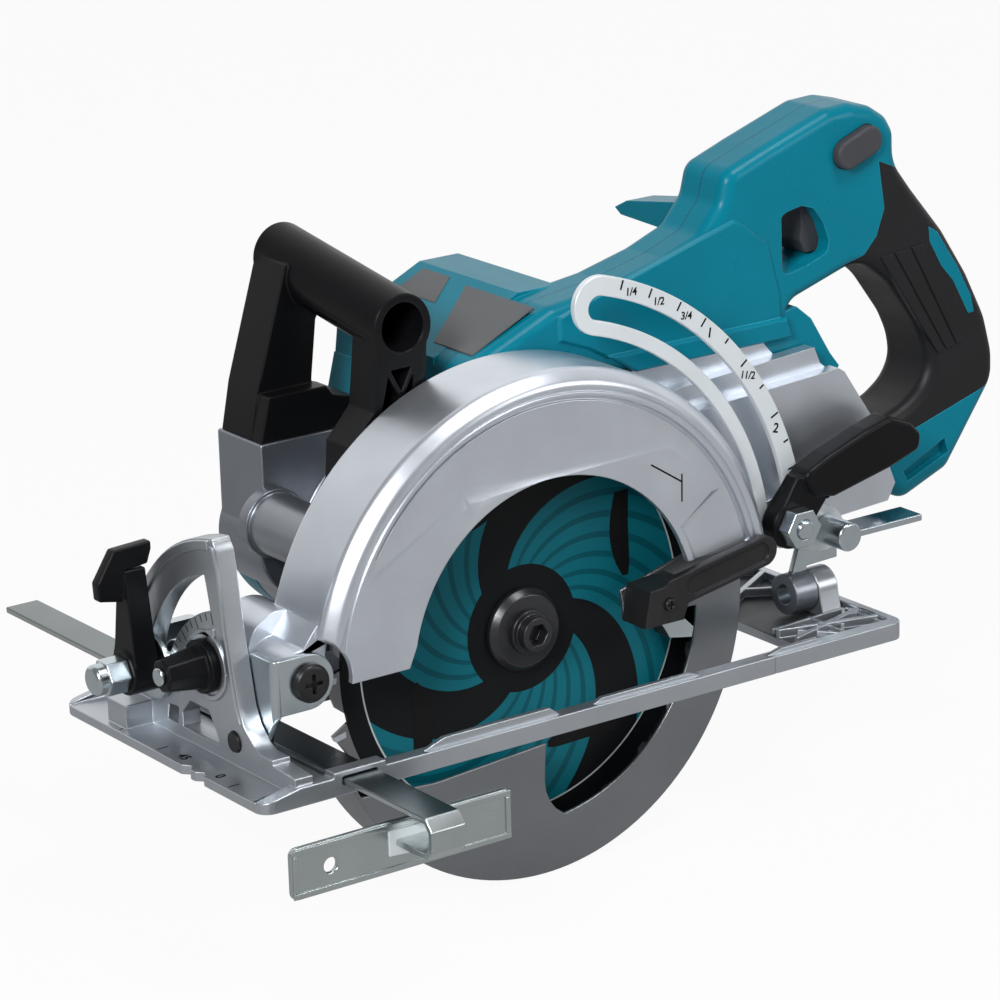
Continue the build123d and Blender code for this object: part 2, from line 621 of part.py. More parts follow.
# Depth guide: an arched strip whose slot follows the clamp bolt through the depth swing
slot_start = clamp_path(0)
slot_end = clamp_path(DEPTH_RANGE)
slot_u, slot_v, slot_r = circle_through(slot_start, clamp_path(DEPTH_RANGE / 2), slot_end)
slot_half = CLAMP_BOLT_R + GUIDE_SLOT_GAP
start_angle = degrees(atan2(slot_start[1] - slot_v, slot_start[0] - slot_u))
end_angle = degrees(atan2(slot_end[1] - slot_v, slot_end[0] - slot_u))
band_r = slot_r + (GUIDE_OUTER_STRIP - GUIDE_INNER_STRIP) / 2
band_half = slot_half + (GUIDE_OUTER_STRIP + GUIDE_INNER_STRIP) / 2
with BuildPart() as depth_guide:
    with BuildSketch(at_y(GUIDE_FACE_Y + GUIDE_T)):
        ring_sector(slot_u, slot_v, band_r - band_half, band_r + band_half, start_angle, end_angle)
        for angle in (start_angle, end_angle):
            with Locations(on_circle(slot_u, slot_v, band_r, angle)):
                Circle(band_half)
        with Locations((GUIDE_PIN_X, GUIDE_PIN_Z)):
            Circle(GUIDE_EYE_R)
        face_of([(CLAMP_X, CLAMP_Z - band_half), (GUIDE_PIN_X, GUIDE_PIN_Z - GUIDE_EYE_R),
                 (GUIDE_PIN_X + 2, GUIDE_PIN_Z + GUIDE_EYE_R), (CLAMP_X + band_half, CLAMP_Z + 8),
                 (CLAMP_X, CLAMP_Z)])
        ring_sector(slot_u, slot_v, slot_r - slot_half, slot_r + slot_half, start_angle, end_angle,
                    Mode.SUBTRACT)
        with Locations(slot_start, slot_end):
            Circle(slot_half, mode=Mode.SUBTRACT)
        with Locations((GUIDE_PIN_X, GUIDE_PIN_Z)):
            Circle(GUIDE_PIN_R + RUN_GAP, mode=Mode.SUBTRACT)
    extrude(amount=GUIDE_T)
save(depth_guide, "depth_guide")

# Upper guard: a deep half drum over the blade, with the depth pivot boss at its front
boss_y = STRAP_FACE_Y + STRAP_T + SEAT_GAP
cavity_r = UPPER_R - UPPER_WALL
face_back_y = UPPER_FACE_Y + UPPER_FACE_T
back_front_y = UPPER_BACK_Y - UPPER_BACK_T
with BuildPart() as upper_guard:
    rod_y(ARBOR_X, ARBOR_Z, UPPER_R, UPPER_FACE_Y, UPPER_BACK_Y)
    chamfer(upper_guard.faces().sort_by(Axis.Y)[0].edges(), UPPER_CHAMFER)
    fillet(upper_guard.faces().sort_by(Axis.Y)[-1].edges(), 2)
    rod_y(ARBOR_X, ARBOR_Z, cavity_r, face_back_y, back_front_y, Mode.SUBTRACT)
    rod_y(ARBOR_X, ARBOR_Z, FACE_OPENING_R, UPPER_FACE_Y - 1, face_back_y + 1, Mode.SUBTRACT)
    rod_y(ARBOR_X, ARBOR_Z, BACK_HOLE_R, back_front_y - 1, UPPER_BACK_Y + 1, Mode.SUBTRACT)
    # Straight front edge of the face opening
    with BuildSketch(at_y(face_back_y + 1)):
        face_of([(ARBOR_X - 54, ARBOR_Z + 39.6), (ARBOR_X - 84, 0), (ARBOR_X, 0),
                 (ARBOR_X, ARBOR_Z + 39.6)])
    extrude(amount=UPPER_FACE_T + 2, mode=Mode.SUBTRACT)
    # Everything below the two feet is open
    with BuildSketch(at_y(UPPER_BACK_Y + 1)):
        face_of([(-200, UPPER_FRONT_FOOT_Z), (ARBOR_X, UPPER_FRONT_FOOT_Z), (ARBOR_X, UPPER_REAR_FOOT_Z),
                 (400, UPPER_REAR_FOOT_Z), (400, -200), (-200, -200)])
    extrude(amount=UPPER_BACK_Y - UPPER_FACE_Y + 2, mode=Mode.SUBTRACT)
    # Groove round the face, and a shallow panel above the ridge line
    with BuildSketch(at_y(UPPER_FACE_Y + GROOVE_DEPTH)):
        with Locations((ARBOR_X, ARBOR_Z)):
            Circle(GROOVE_R + GROOVE_W / 2)
            Circle(GROOVE_R - GROOVE_W / 2, mode=Mode.SUBTRACT)
    extrude(amount=GROOVE_DEPTH, mode=Mode.SUBTRACT)
    with BuildSketch(at_y(UPPER_FACE_Y + GROOVE_DEPTH)):
        with Locations((ARBOR_X, ARBOR_Z)):
            Circle(GROOVE_R - 4)
        face_of([(ARBOR_X - 120, ARBOR_Z + 58), (ARBOR_X - 50, ARBOR_Z + 72.5),
                 (ARBOR_X + 56, ARBOR_Z + 74), (ARBOR_X + 78, ARBOR_Z + 48), (ARBOR_X + 120, ARBOR_Z + 48),
                 (ARBOR_X + 120, ARBOR_Z + 120), (ARBOR_X - 120, ARBOR_Z + 120)], Mode.INTERSECT)
    extrude(amount=GROOVE_DEPTH, mode=Mode.SUBTRACT)
    # Depth pivot boss, in a round recess that lets the strap eye turn
    rod_y(0, PIVOT_Z, PIVOT_RECESS_R, UPPER_FACE_Y - 1, boss_y, Mode.SUBTRACT)
    rod_y(0, PIVOT_Z, PIVOT_BOSS_R, boss_y, UPPER_BACK_Y)
    with BuildSketch(at_y(UPPER_BACK_Y)):
        face_of([(0, PIVOT_Z + PIVOT_BOSS_R), (-PIVOT_BOSS_R, PIVOT_Z), (ARBOR_X - cavity_r, PIVOT_Z),
                 (ARBOR_X - cavity_r + 6, PIVOT_Z + 30)])
    extrude(amount=UPPER_BACK_Y - boss_y)
    rod_y(PIVOT_BODY_X, PIVOT_BODY_Z, PIVOT_BODY_R, 5, PIVOT_BODY_END_Y)
    rod_y(ARBOR_X, ARBOR_Z, LOWER_R + 1.5, face_back_y, back_front_y, Mode.SUBTRACT)
    for angle in GUARD_SCREW_ANGLES:
        x, z = on_circle(ARBOR_X, ARBOR_Z, GUARD_SCREW_R, angle)
        rod_y(x, z, HOUSING_SCREW_R, back_front_y - 1, UPPER_BACK_Y + 1, Mode.SUBTRACT)
    rod_y(0, PIVOT_Z, PIVOT_SCREW_R, boss_y - 1, boss_y + PIVOT_THREAD, Mode.SUBTRACT)
save(upper_guard, "upper_guard")

with BuildPart() as depth_pivot_screw:
    rod_y(0, PIVOT_Z, PIVOT_SCREW_R, STRAP_FACE_Y - SEAT_GAP, boss_y + PIVOT_THREAD)
    rod_y(0, PIVOT_Z, PIVOT_HEAD_R, STRAP_FACE_Y - SEAT_GAP - 3.2, STRAP_FACE_Y - SEAT_GAP)
    fillet(depth_pivot_screw.faces().sort_by(Axis.Y)[0].edges(), 2)
    with BuildSketch(at_y(STRAP_FACE_Y - SEAT_GAP - 1.4)):
        with Locations((0, PIVOT_Z)):
            Rectangle(8, 1.8)
            Rectangle(1.8, 8)
    extrude(amount=5, mode=Mode.SUBTRACT)
save(depth_pivot_screw, "depth_pivot_screw")

# Lower guard: rim, blade-side face with its window, motor-side web and hub ring
sweep_low = -156
sweep_high = 24
hub_bore = NOSE_R + RUN_GAP
with BuildPart() as lower_guard:
    with BuildSketch(at_y(LOWER_BACK_Y)):
        ring_sector(ARBOR_X, ARBOR_Z, LOWER_R - GUARD_SHEET, LOWER_R, sweep_low, sweep_high)
    extrude(amount=LOWER_BACK_Y - LOWER_FACE_Y)
    with BuildSketch(at_y(LOWER_FACE_Y + GUARD_SHEET)):
        with Locations((ARBOR_X, ARBOR_Z)):
            Circle(LOWER_R)
        face_of([(ARBOR_X - 101, ARBOR_Z - 44.5), (ARBOR_X - 52, ARBOR_Z - 48),
                 (ARBOR_X + 1, ARBOR_Z - 44.5), (ARBOR_X, ARBOR_Z - 60), (ARBOR_X + 0.5, ARBOR_Z - 64.5),
                 (ARBOR_X + 2.2, ARBOR_Z - 69), (ARBOR_X + 5, ARBOR_Z - 72.8), (ARBOR_X + 9, ARBOR_Z - 75.9),
                 (ARBOR_X + 9, ARBOR_Z - 110), (ARBOR_X - 101, ARBOR_Z - 110)], Mode.INTERSECT)
        ring_sector(ARBOR_X, ARBOR_Z, LOWER_WINDOW_R, LOWER_R, -88, sweep_high)
        ring_sector(ARBOR_X, ARBOR_Z, 40, LOWER_WINDOW_R + 1, -3, 15)
    extrude(amount=GUARD_SHEET)
    with BuildSketch(at_y(LOWER_BACK_Y)):
        ring_sector(ARBOR_X, ARBOR_Z, LOWER_WINDOW_R, LOWER_R, sweep_low, sweep_high)
        ring_sector(ARBOR_X, ARBOR_Z, hub_bore, LOWER_WINDOW_R + 1, -120, -20)
        with Locations((ARBOR_X, ARBOR_Z)):
            Circle(hub_bore + HUB_RING_T)
            Circle(hub_bore, mode=Mode.SUBTRACT)
    extrude(amount=GUARD_SHEET)
    with BuildSketch(at_y(LOWER_BACK_Y + 2)):
        with Locations((ARBOR_X, ARBOR_Z)):
            Circle(hub_bore + HUB_RING_T)
            Circle(hub_bore, mode=Mode.SUBTRACT)
    extrude(amount=2)
save(lower_guard, "lower_guard")

# Retracting lever on the lower guard: block, channel arm and thumb tab
arm_y = UPPER_FACE_Y - MOVE_GAP
with BuildPart() as retracting_lever:
    with BuildSketch(at_y(LOWER_FACE_Y)):
        face_of([(ARBOR_X + 39, ARBOR_Z - 2), (ARBOR_X + 58, ARBOR_Z - 2), (ARBOR_X + 61, ARBOR_Z + 5),
                 (ARBOR_X + 60, ARBOR_Z + 14.5), (ARBOR_X + 42, ARBOR_Z + 13)])
    extrude(amount=LOWER_FACE_Y - LEVER_FACE_Y)
    with BuildSketch(at_y(arm_y)):
        arm_mid = on_circle(ARBOR_X, ARBOR_Z, (LEVER_REACH + 52) / 2, LEVER_LEAN)
        with Locations(Location(arm_mid, LEVER_LEAN)):
            SlotOverall(LEVER_REACH - 46, LEVER_W)
    extrude(amount=arm_y - LEVER_FACE_Y)
    with BuildSketch(at_y(LEVER_FACE_Y + 1.2)):
        channel_mid = on_circle(ARBOR_X, ARBOR_Z, (LEVER_REACH + 60) / 2, LEVER_LEAN)
        with Locations(Location(channel_mid, LEVER_LEAN)):
            SlotOverall(LEVER_REACH - 62, LEVER_W - 4)
    extrude(amount=2, mode=Mode.SUBTRACT)
    with BuildSketch(at_y(LOWER_FACE_Y - 5)):
        face_of([(ARBOR_X + 47, ARBOR_Z - 1), (ARBOR_X + 51, ARBOR_Z - 8), (ARBOR_X + 62, ARBOR_Z - 10),
                 (ARBOR_X + 63, ARBOR_Z - 6), (ARBOR_X + 58, ARBOR_Z - 1)])
    extrude(amount=LOWER_FACE_Y - 5 - LEVER_FACE_Y)
    rod_y(ARBOR_X + 51, ARBOR_Z + 6, LEVER_SCREW_R, LEVER_FACE_Y - 1, LEVER_FACE_Y + 10, Mode.SUBTRACT)
save(retracting_lever, "retracting_lever")

with BuildPart() as lever_screw:
    rod_y(ARBOR_X + 51, ARBOR_Z + 6, LEVER_SCREW_R, LEVER_FACE_Y - 1.5, LEVER_FACE_Y + 10)
    fillet(lever_screw.faces().sort_by(Axis.Y)[0].edges(), 0.8)
save(lever_screw, "lever_screw")

# Blade: toothed disc with curved relief slots
tooth_step = 360 / BLADE_TEETH
with BuildPart() as blade:
    with BuildSketch(at_y(BLADE_T / 2)):
        with Locations((ARBOR_X, ARBOR_Z)):
            face_of([on_circle(0, 0, r, (i + part) * tooth_step) for i in range(BLADE_TEETH)
                     for r, part in ((BLADE_R, 0), (BLADE_R - GULLET_DEPTH / 2, 0.55),
                                     (BLADE_R - GULLET_DEPTH, 0.74), (BLADE_R - GULLET_DEPTH, 0.9))])
            Circle(BLADE_BORE / 2, mode=Mode.SUBTRACT)
        for i in range(EXPANSION_SLOTS):
            lean = 30 + i * 360 / EXPANSION_SLOTS
            with Locations(Location(on_circle(ARBOR_X, ARBOR_Z, BLADE_R * 0.62, lean), lean + 62)):
                SlotOverall(34, 3.6, mode=Mode.SUBTRACT)
    extrude(amount=BLADE_T)
save(blade, "blade")

# Flanges, blade bolt and spindle
flange_y = BLADE_T / 2 + FLANGE_T
stub_r = BLADE_BORE / 2
with BuildPart() as inner_flange:
    rod_y(ARBOR_X, ARBOR_Z, FLANGE_R, BLADE_T / 2, flange_y)
    rod_y(ARBOR_X, ARBOR_Z, stub_r, 0, flange_y + 1, Mode.SUBTRACT)
save(inner_flange, "inner_flange")

with BuildPart() as outer_flange:
    rod_y(ARBOR_X, ARBOR_Z, FLANGE_R, -flange_y, -BLADE_T / 2)
    chamfer(outer_flange.faces().sort_by(Axis.Y)[0].edges(), 2.5)
    rod_y(ARBOR_X, ARBOR_Z, stub_r, 1 - flange_y, 0, Mode.SUBTRACT)
    rod_y(ARBOR_X, ARBOR_Z, BOLT_SHANK_R, -flange_y - 1, 0, Mode.SUBTRACT)
save(outer_flange, "outer_flange")

with BuildPart() as blade_bolt:
    rod_y(ARBOR_X, ARBOR_Z, BOLT_HEAD_R, -flange_y - 2, -flange_y)
    rod_y(ARBOR_X, ARBOR_Z, BOLT_HEAD_R - 2, -flange_y - BOLT_HEAD_T, -flange_y - 2)
    rod_y(ARBOR_X, ARBOR_Z, BOLT_SHANK_R, -flange_y, BOLT_LEN)
    with BuildSketch(at_y(-flange_y - 1.5)):
        with Locations((ARBOR_X, ARBOR_Z)):
            RegularPolygon(BOLT_SOCKET_AF / 2, 6, major_radius=False)
    extrude(amount=BOLT_HEAD_T, mode=Mode.SUBTRACT)
save(blade_bolt, "blade_bolt")

with BuildPart() as spindle:
    rod_y(ARBOR_X, ARBOR_Z, stub_r, 1.2 - flange_y, flange_y)
    rod_y(ARBOR_X, ARBOR_Z, SPINDLE_R, flange_y, SPINDLE_END_Y)
    rod_y(ARBOR_X, ARBOR_Z, BOLT_SHANK_R, -flange_y, BOLT_LEN, Mode.SUBTRACT)
save(spindle, "spindle")

# Gear pair, with a tooth of the gear in a gap of the pinion
with BuildPart() as drive_gear:
    with BuildSketch(at_y(GEAR_Y + GEAR_T)):
        with Locations((ARBOR_X, ARBOR_Z)):
            face_of(gear_points(GEAR_TEETH, GEAR_MODULE, GEAR_LEAN))
            Circle(SPINDLE_R, mode=Mode.SUBTRACT)
    extrude(amount=GEAR_T)
save(drive_gear, "drive_gear")

with BuildPart() as pinion:
    with BuildSketch(at_y(GEAR_Y + GEAR_T + 1)):
        with Locations((MOTOR_X, MOTOR_Z)):
            face_of(gear_points(PINION_TEETH, GEAR_MODULE, GEAR_LEAN + 180 + 180 / PINION_TEETH))
            Circle(SHAFT_R, mode=Mode.SUBTRACT)
    extrude(amount=GEAR_T + 2)
save(pinion, "pinion")

# Bearings, each one ring
spindle_front_y = GEAR_Y - BEARING_T - 4
spindle_rear_y = GEAR_Y + GEAR_T + 3
with BuildPart() as spindle_bearings:
    for y, r in ((spindle_front_y, SPINDLE_BEARING_R), (spindle_rear_y, SPINDLE_BEARING_R - 2)):
        rod_y(ARBOR_X, ARBOR_Z, r, y, y + BEARING_T)
        rod_y(ARBOR_X, ARBOR_Z, SPINDLE_R + RUN_GAP / 2, y - 1, y + BEARING_T + 1, Mode.SUBTRACT)
save(spindle_bearings, "spindle_bearings")

motor_front_y = GEAR_Y + GEAR_T + 3
motor_rear_y = CASE_END_Y - BEARING_T
with BuildPart() as motor_bearings:
    for y in (motor_front_y, motor_rear_y):
        rod_y(MOTOR_X, MOTOR_Z, MOTOR_BEARING_R, y, y + BEARING_T)
        rod_y(MOTOR_X, MOTOR_Z, SHAFT_R + RUN_GAP / 2, y - 1, y + BEARING_T + 1, Mode.SUBTRACT)
save(motor_bearings, "motor_bearings")

# Motor: shaft, rotor, fan and stator
stator_y = motor_rear_y - 3 - STATOR_LEN
with BuildPart() as rotor_shaft:
    rod_y(MOTOR_X, MOTOR_Z, SHAFT_R, GEAR_Y - 1, CASE_END_Y - 0.5)
save(rotor_shaft, "rotor_shaft")

with BuildPart() as rotor:
    rod_y(MOTOR_X, MOTOR_Z, ROTOR_R, stator_y, stator_y + STATOR_LEN)
    rod_y(MOTOR_X, MOTOR_Z, SHAFT_R, stator_y - 1, stator_y + STATOR_LEN + 1, Mode.SUBTRACT)
save(rotor, "rotor")

with BuildPart() as stator:
    rod_y(MOTOR_X, MOTOR_Z, STATOR_R, stator_y, stator_y + STATOR_LEN)
    rod_y(MOTOR_X, MOTOR_Z, STATOR_BORE, stator_y - 1, stator_y + STATOR_LEN + 1, Mode.SUBTRACT)
    with BuildSketch(at_y(stator_y + STATOR_LEN)):
        with Locations((MOTOR_X, MOTOR_Z)):
            with PolarLocations((STATOR_R + STATOR_BORE) / 2, 6):
                RectangleRounded((STATOR_R - STATOR_BORE) * 0.6, 7, 2)
    extrude(amount=STATOR_LEN, mode=Mode.SUBTRACT)
save(stator, "stator")

fan_y = CASE_START_Y + 1.5
with BuildPart() as cooling_fan:
    rod_y(MOTOR_X, MOTOR_Z, FAN_R, fan_y, fan_y + 1.5)
    rod_y(MOTOR_X, MOTOR_Z, SHAFT_R + 4, fan_y, fan_y + FAN_T)
    with BuildSketch(at_y(fan_y + FAN_T)):
        with Locations((MOTOR_X, MOTOR_Z)):
            with PolarLocations(FAN_R * 0.64, FAN_BLADES):
                Rectangle(FAN_R * 0.66, 1.6, rotation=25)
        with Locations((MOTOR_X, MOTOR_Z)):
            Circle(FAN_R, mode=Mode.INTERSECT)
    extrude(amount=FAN_T)
    rod_y(MOTOR_X, MOTOR_Z, SHAFT_R, fan_y - 1, fan_y + FAN_T + 1, Mode.SUBTRACT)
save(cooling_fan, "cooling_fan")

# Gear housing: hub drum, motor drum and rear arm in one casting, with its steps beside the guard
nose_y = flange_y + MOVE_GAP
cavity_y = GEAR_Y - 1.5
cavity_end_y = GEAR_Y + GEAR_T + 2
arm_outline = [(MOTOR_X, ARM_TOP_Z), (ARM_END_X, ARM_TOP_Z), TAIL_HIGH, TAIL_LOW, SLOPE_HIGH,
               SLOPE_LOW, (SLOPE_LOW[0] - 7, 38), (ARM_REAR_X + 1, 36), (ARBOR_X + 69, 30),
               (ARBOR_X + 24, 14), (ARBOR_X, ARBOR_Z), (MOTOR_X, MOTOR_Z)]
with BuildPart() as gear_housing:
    rod_y(ARBOR_X, ARBOR_Z, HUB_DRUM_R, HOUSING_FACE_Y, cavity_end_y + 2)
    rod_y(ARBOR_X, ARBOR_Z, SPINDLE_BEARING_R + 1.5, HOUSING_FACE_Y, CASE_START_Y)
    rod_y(MOTOR_X, MOTOR_Z, MOTOR_CASE_R, CASE_START_Y - FLANGE_STEP, CASE_START_Y)
    rod_y(MOTOR_X, MOTOR_Z, HUB_DRUM_R, HOUSING_FACE_Y, CASE_START_Y)
    with BuildSketch(at_y(CASE_START_Y)):
        face_of(arm_outline)
    extrude(amount=CASE_START_Y - HOUSING_FACE_Y)
    # Mounting plate behind the upper guard
    with BuildSketch(at_y(HOUSING_FACE_Y + FLANGE_STEP)):
        with Locations((ARBOR_X, ARBOR_Z)):
            Circle(PLATE_R)
        face_of([(0, UPPER_REAR_FOOT_Z), (300, UPPER_REAR_FOOT_Z), (300, 300), (0, 300)], Mode.INTERSECT)
        with Locations((ARBOR_X, ARBOR_Z)):
            Circle(BACK_HOLE_R + 4)
    extrude(amount=FLANGE_STEP)
    # Steps that come forward beside the guard
    with BuildSketch(at_y(HOUSING_FACE_Y)):
        face_of([(ARBOR_X + 40, ARM_TOP_Z - 12), (ARM_REAR_X + 6, ARM_TOP_Z - 5),
                 (ARM_REAR_X + 9, ARM_TOP_Z - 12), TAIL_LOW, SLOPE_HIGH, SLOPE_LOW, (SLOPE_LOW[0] - 7, 38),
                 (ARM_REAR_X + 1, 36), (ARBOR_X + 100, 36)])
        with Locations((ARBOR_X, ARBOR_Z)):
            Circle(UPPER_R + 1.5, mode=Mode.SUBTRACT)
    extrude(amount=HOUSING_FACE_Y - STEP_Y)
    with BuildSketch(at_y(STEP_Y)):
        face_of([(ARBOR_X + 40, ARM_TOP_Z - 21), (ARM_REAR_X + 14, ARM_TOP_Z - 14),
                 (ARM_REAR_X + 17, ARM_TOP_Z - 16), SLOPE_HIGH, (SLOPE_LOW[0] - 4, SLOPE_LOW[1]),
                 (SLOPE_LOW[0] - 8, 40), (ARM_REAR_X + 1, 38), (ARBOR_X + 100, 38)])
        with Locations((ARBOR_X, ARBOR_Z)):
            Circle(UPPER_R + 1.5, mode=Mode.SUBTRACT)
    extrude(amount=STEP_Y - ARM_FACE_Y)
    rod_y(CLAMP_X, CLAMP_Z, CLAMP_BOSS_R, GUIDE_FACE_Y + GUIDE_T + SIDE_GAP, ARM_FACE_Y)
    # Lightening pocket in the arm, open towards the motor side
    with BuildSketch(at_y(CASE_START_Y)):
        face_of([(ARBOR_X + 46, ARM_TOP_Z - 4), (ARM_END_X - 4, ARM_TOP_Z - 4),
                 (TAIL_HIGH[0] - 2, TAIL_HIGH[1] - 4), (TAIL_LOW[0] - 4, TAIL_LOW[1] - 4),
                 (SLOPE_HIGH[0] - 5, SLOPE_HIGH[1]), (SLOPE_LOW[0] - 7, 47), (ARM_REAR_X + 1, 41),
                 (ARBOR_X + 69, 35), (ARBOR_X + 46, 35)])
        for x in (ARBOR_X + 82, ARBOR_X + 118):
            with Locations((x, 75)):
                Rectangle(3, 100, mode=Mode.SUBTRACT)
        with Locations((CLAMP_X, CLAMP_Z)):
            Circle(CLAMP_BOSS_R + 2, mode=Mode.SUBTRACT)
    extrude(amount=CASE_START_Y - HOUSING_FACE_Y - 4, mode=Mode.SUBTRACT)
    # Nose that the lower guard turns on
    rod_y(ARBOR_X, ARBOR_Z, NOSE_R, nose_y + RING_T, HOUSING_FACE_Y)
    rod_y(ARBOR_X, ARBOR_Z, NOSE_R - 2, nose_y, HOUSING_FACE_Y)
    # Bores for bearings, gears and shafts
    rod_y(ARBOR_X, ARBOR_Z, SPINDLE_R + 1, nose_y - 1, SPINDLE_END_Y + 0.5, Mode.SUBTRACT)
    rod_y(ARBOR_X, ARBOR_Z, SPINDLE_BEARING_R, spindle_front_y, spindle_front_y + BEARING_T, Mode.SUBTRACT)
    rod_y(ARBOR_X, ARBOR_Z, SPINDLE_R + 3, spindle_front_y + BEARING_T, cavity_y, Mode.SUBTRACT)
    rod_y(ARBOR_X, ARBOR_Z, GEAR_R + 1.7, cavity_y, cavity_end_y, Mode.SUBTRACT)
    rod_y(ARBOR_X, ARBOR_Z, SPINDLE_BEARING_R - 2, cavity_end_y, spindle_rear_y + BEARING_T, Mode.SUBTRACT)
    rod_y(MOTOR_X, MOTOR_Z, PINION_R + 2.2, cavity_y, cavity_end_y, Mode.SUBTRACT)
    rod_y(MOTOR_X, MOTOR_Z, MOTOR_BEARING_R, cavity_end_y, motor_front_y + BEARING_T, Mode.SUBTRACT)
    rod_y(MOTOR_X, MOTOR_Z, SHAFT_R + 1.5, motor_front_y, CASE_START_Y + 1, Mode.SUBTRACT)
    rod_y(CLAMP_X, CLAMP_Z, CLAMP_BOLT_R, GUIDE_FACE_Y, CLAMP_END_Y, Mode.SUBTRACT)
    for angle in GUARD_SCREW_ANGLES:
        x, z = on_circle(ARBOR_X, ARBOR_Z, GUARD_SCREW_R, angle)
        rod_y(x, z, HOUSING_SCREW_R, HOUSING_FACE_Y - 1, HOUSING_FACE_Y + FLANGE_STEP, Mode.SUBTRACT)
save(gear_housing, "gear_housing")

# Ring that keeps the lower guard on the nose, and its return spring
with BuildPart() as guard_retaining_ring:
    rod_y(ARBOR_X, ARBOR_Z, NOSE_R + 2.5, nose_y, nose_y + RING_T)
    rod_y(ARBOR_X, ARBOR_Z, NOSE_R - 2, nose_y - 1, nose_y + RING_T + 1, Mode.SUBTRACT)
save(guard_retaining_ring, "guard_retaining_ring")

with BuildPart() as guard_return_spring:
    with BuildLine() as coil:
        Helix(SPRING_PITCH, SPRING_PITCH * SPRING_TURNS, SPRING_R, (ARBOR_X, SPRING_Y, ARBOR_Z), (0, 1, 0))
    with BuildSketch(Plane(origin=coil.line @ 0, z_dir=coil.line % 0)):
        Circle(SPRING_WIRE_R)
    sweep(path=coil.line, is_frenet=True)
save(guard_return_spring, "guard_return_spring")

# Depth clamp: bolt, lever and nut on one axis along Y
hub_y = GUIDE_FACE_Y - SIDE_GAP
clamp_nut_y = hub_y - CLAMP_HUB_T - SEAT_GAP
with BuildPart() as depth_clamp_bolt:
    rod_y(CLAMP_X, CLAMP_Z, CLAMP_BOLT_R, clamp_nut_y - CLAMP_NUT_T - 1.5, CLAMP_END_Y)
    chamfer(depth_clamp_bolt.faces().sort_by(Axis.Y)[0].edges(), 0.8)
save(depth_clamp_bolt, "depth_clamp_bolt")

paddle_points = [(CLAMP_X + u * CLAMP_LEVER_LEN, CLAMP_Z + v * CLAMP_LEVER_LEN) for u, v in PADDLE_OUTLINE]
with BuildPart() as depth_lock_lever:
    rod_y(CLAMP_X, CLAMP_Z, CLAMP_HUB_R, hub_y - CLAMP_HUB_T, hub_y)
    with BuildSketch(at_y(hub_y - 1)):
        face_of([(CLAMP_X - CLAMP_HUB_R * 0.9, CLAMP_Z + 2), (CLAMP_X + 2.5, CLAMP_Z + 20),
                 (CLAMP_X + 22, CLAMP_Z + 13), (CLAMP_X + CLAMP_HUB_R * 0.8, CLAMP_Z - 4)])
    extrude(amount=CLAMP_HUB_T - 1)
    with BuildSketch(at_y(hub_y - 0.5)) as paddle_face:
        face_of(paddle_points)
        soften(paddle_face, paddle_points, [PADDLE_R] * len(paddle_points))
    extrude(amount=CLAMP_HUB_T + PADDLE_RISE)
    fillet(depth_lock_lever.faces().sort_by(Axis.Y)[0].edges(), 2)
    rod_y(CLAMP_X, CLAMP_Z, CLAMP_BOLT_R + RUN_GAP, hub_y - CLAMP_HUB_T - 1, hub_y + 1, Mode.SUBTRACT)
save(depth_lock_lever, "depth_lock_lever")

with BuildPart() as depth_lock_nut:
    with BuildSketch(at_y(clamp_nut_y)):
        with Locations((CLAMP_X, CLAMP_Z)):
            RegularPolygon(CLAMP_NUT_AF / 2, 6, major_radius=False)
            Circle(CLAMP_BOLT_R, mode=Mode.SUBTRACT)
    extrude(amount=CLAMP_NUT_T)
save(depth_lock_nut, "depth_lock_nut")

# Motor case with the front pad, the round front casting and air channels
case_wall_y = stator_y + STATOR_LEN + 0.5
with BuildPart() as motor_case:
    rod_y(MOTOR_X, MOTOR_Z, MOTOR_CASE_R, CASE_START_Y, CASE_END_Y)
    with BuildSketch(at_y(PAD_END_Y)):
        face_of([(PAD_FRONT_X, MOTOR_Z + 10), (PAD_FRONT_X, PAD_Z), (PAD_REAR_X, PAD_Z),
                 (PAD_REAR_X, MOTOR_Z + 10)])
        with Locations((PAD_FRONT_X + FRONT_CASTING_R - 2, MOTOR_Z + 7)):
            Circle(FRONT_CASTING_R)
    extrude(amount=PAD_END_Y - PAD_Y)
    for x in FOOT_SCREWS_X:
        with Locations(Location((x, FOOT_SCREW_Y, PAD_Z + 1))):
            Cylinder(HOUSING_SCREW_R, FOOT_SCREW_BITE + 1, align=(Align.CENTER, Align.CENTER, Align.MAX),
                     mode=Mode.SUBTRACT)
    rod_y(MOTOR_X, MOTOR_Z, STATOR_R, CASE_START_Y - 1, case_wall_y, Mode.SUBTRACT)
    rod_y(MOTOR_X, MOTOR_Z, MOTOR_BEARING_R, motor_rear_y, CASE_END_Y + 1, Mode.SUBTRACT)
    rod_y(MOTOR_X, MOTOR_Z, SHAFT_R + 1.5, case_wall_y - 1, CASE_END_Y + 1, Mode.SUBTRACT)
    with BuildSketch(at_y(case_wall_y)):
        for start in range(0, 360, 60):
            ring_sector(MOTOR_X, MOTOR_Z, STATOR_R - 1, MOTOR_CASE_R - MOTOR_CASE_WALL, start, start + 40)
    extrude(amount=case_wall_y - CASE_START_Y + 1, mode=Mode.SUBTRACT)
    with BuildSketch(at_y(CASE_END_Y + 1)):
        for start in range(10, 370, 60):
            ring_sector(MOTOR_X, MOTOR_Z, MOTOR_BEARING_R + 4, STATOR_R - 2, start, start + 40)
    extrude(amount=CASE_END_Y + 2 - case_wall_y, mode=Mode.SUBTRACT)
save(motor_case, "motor_case")

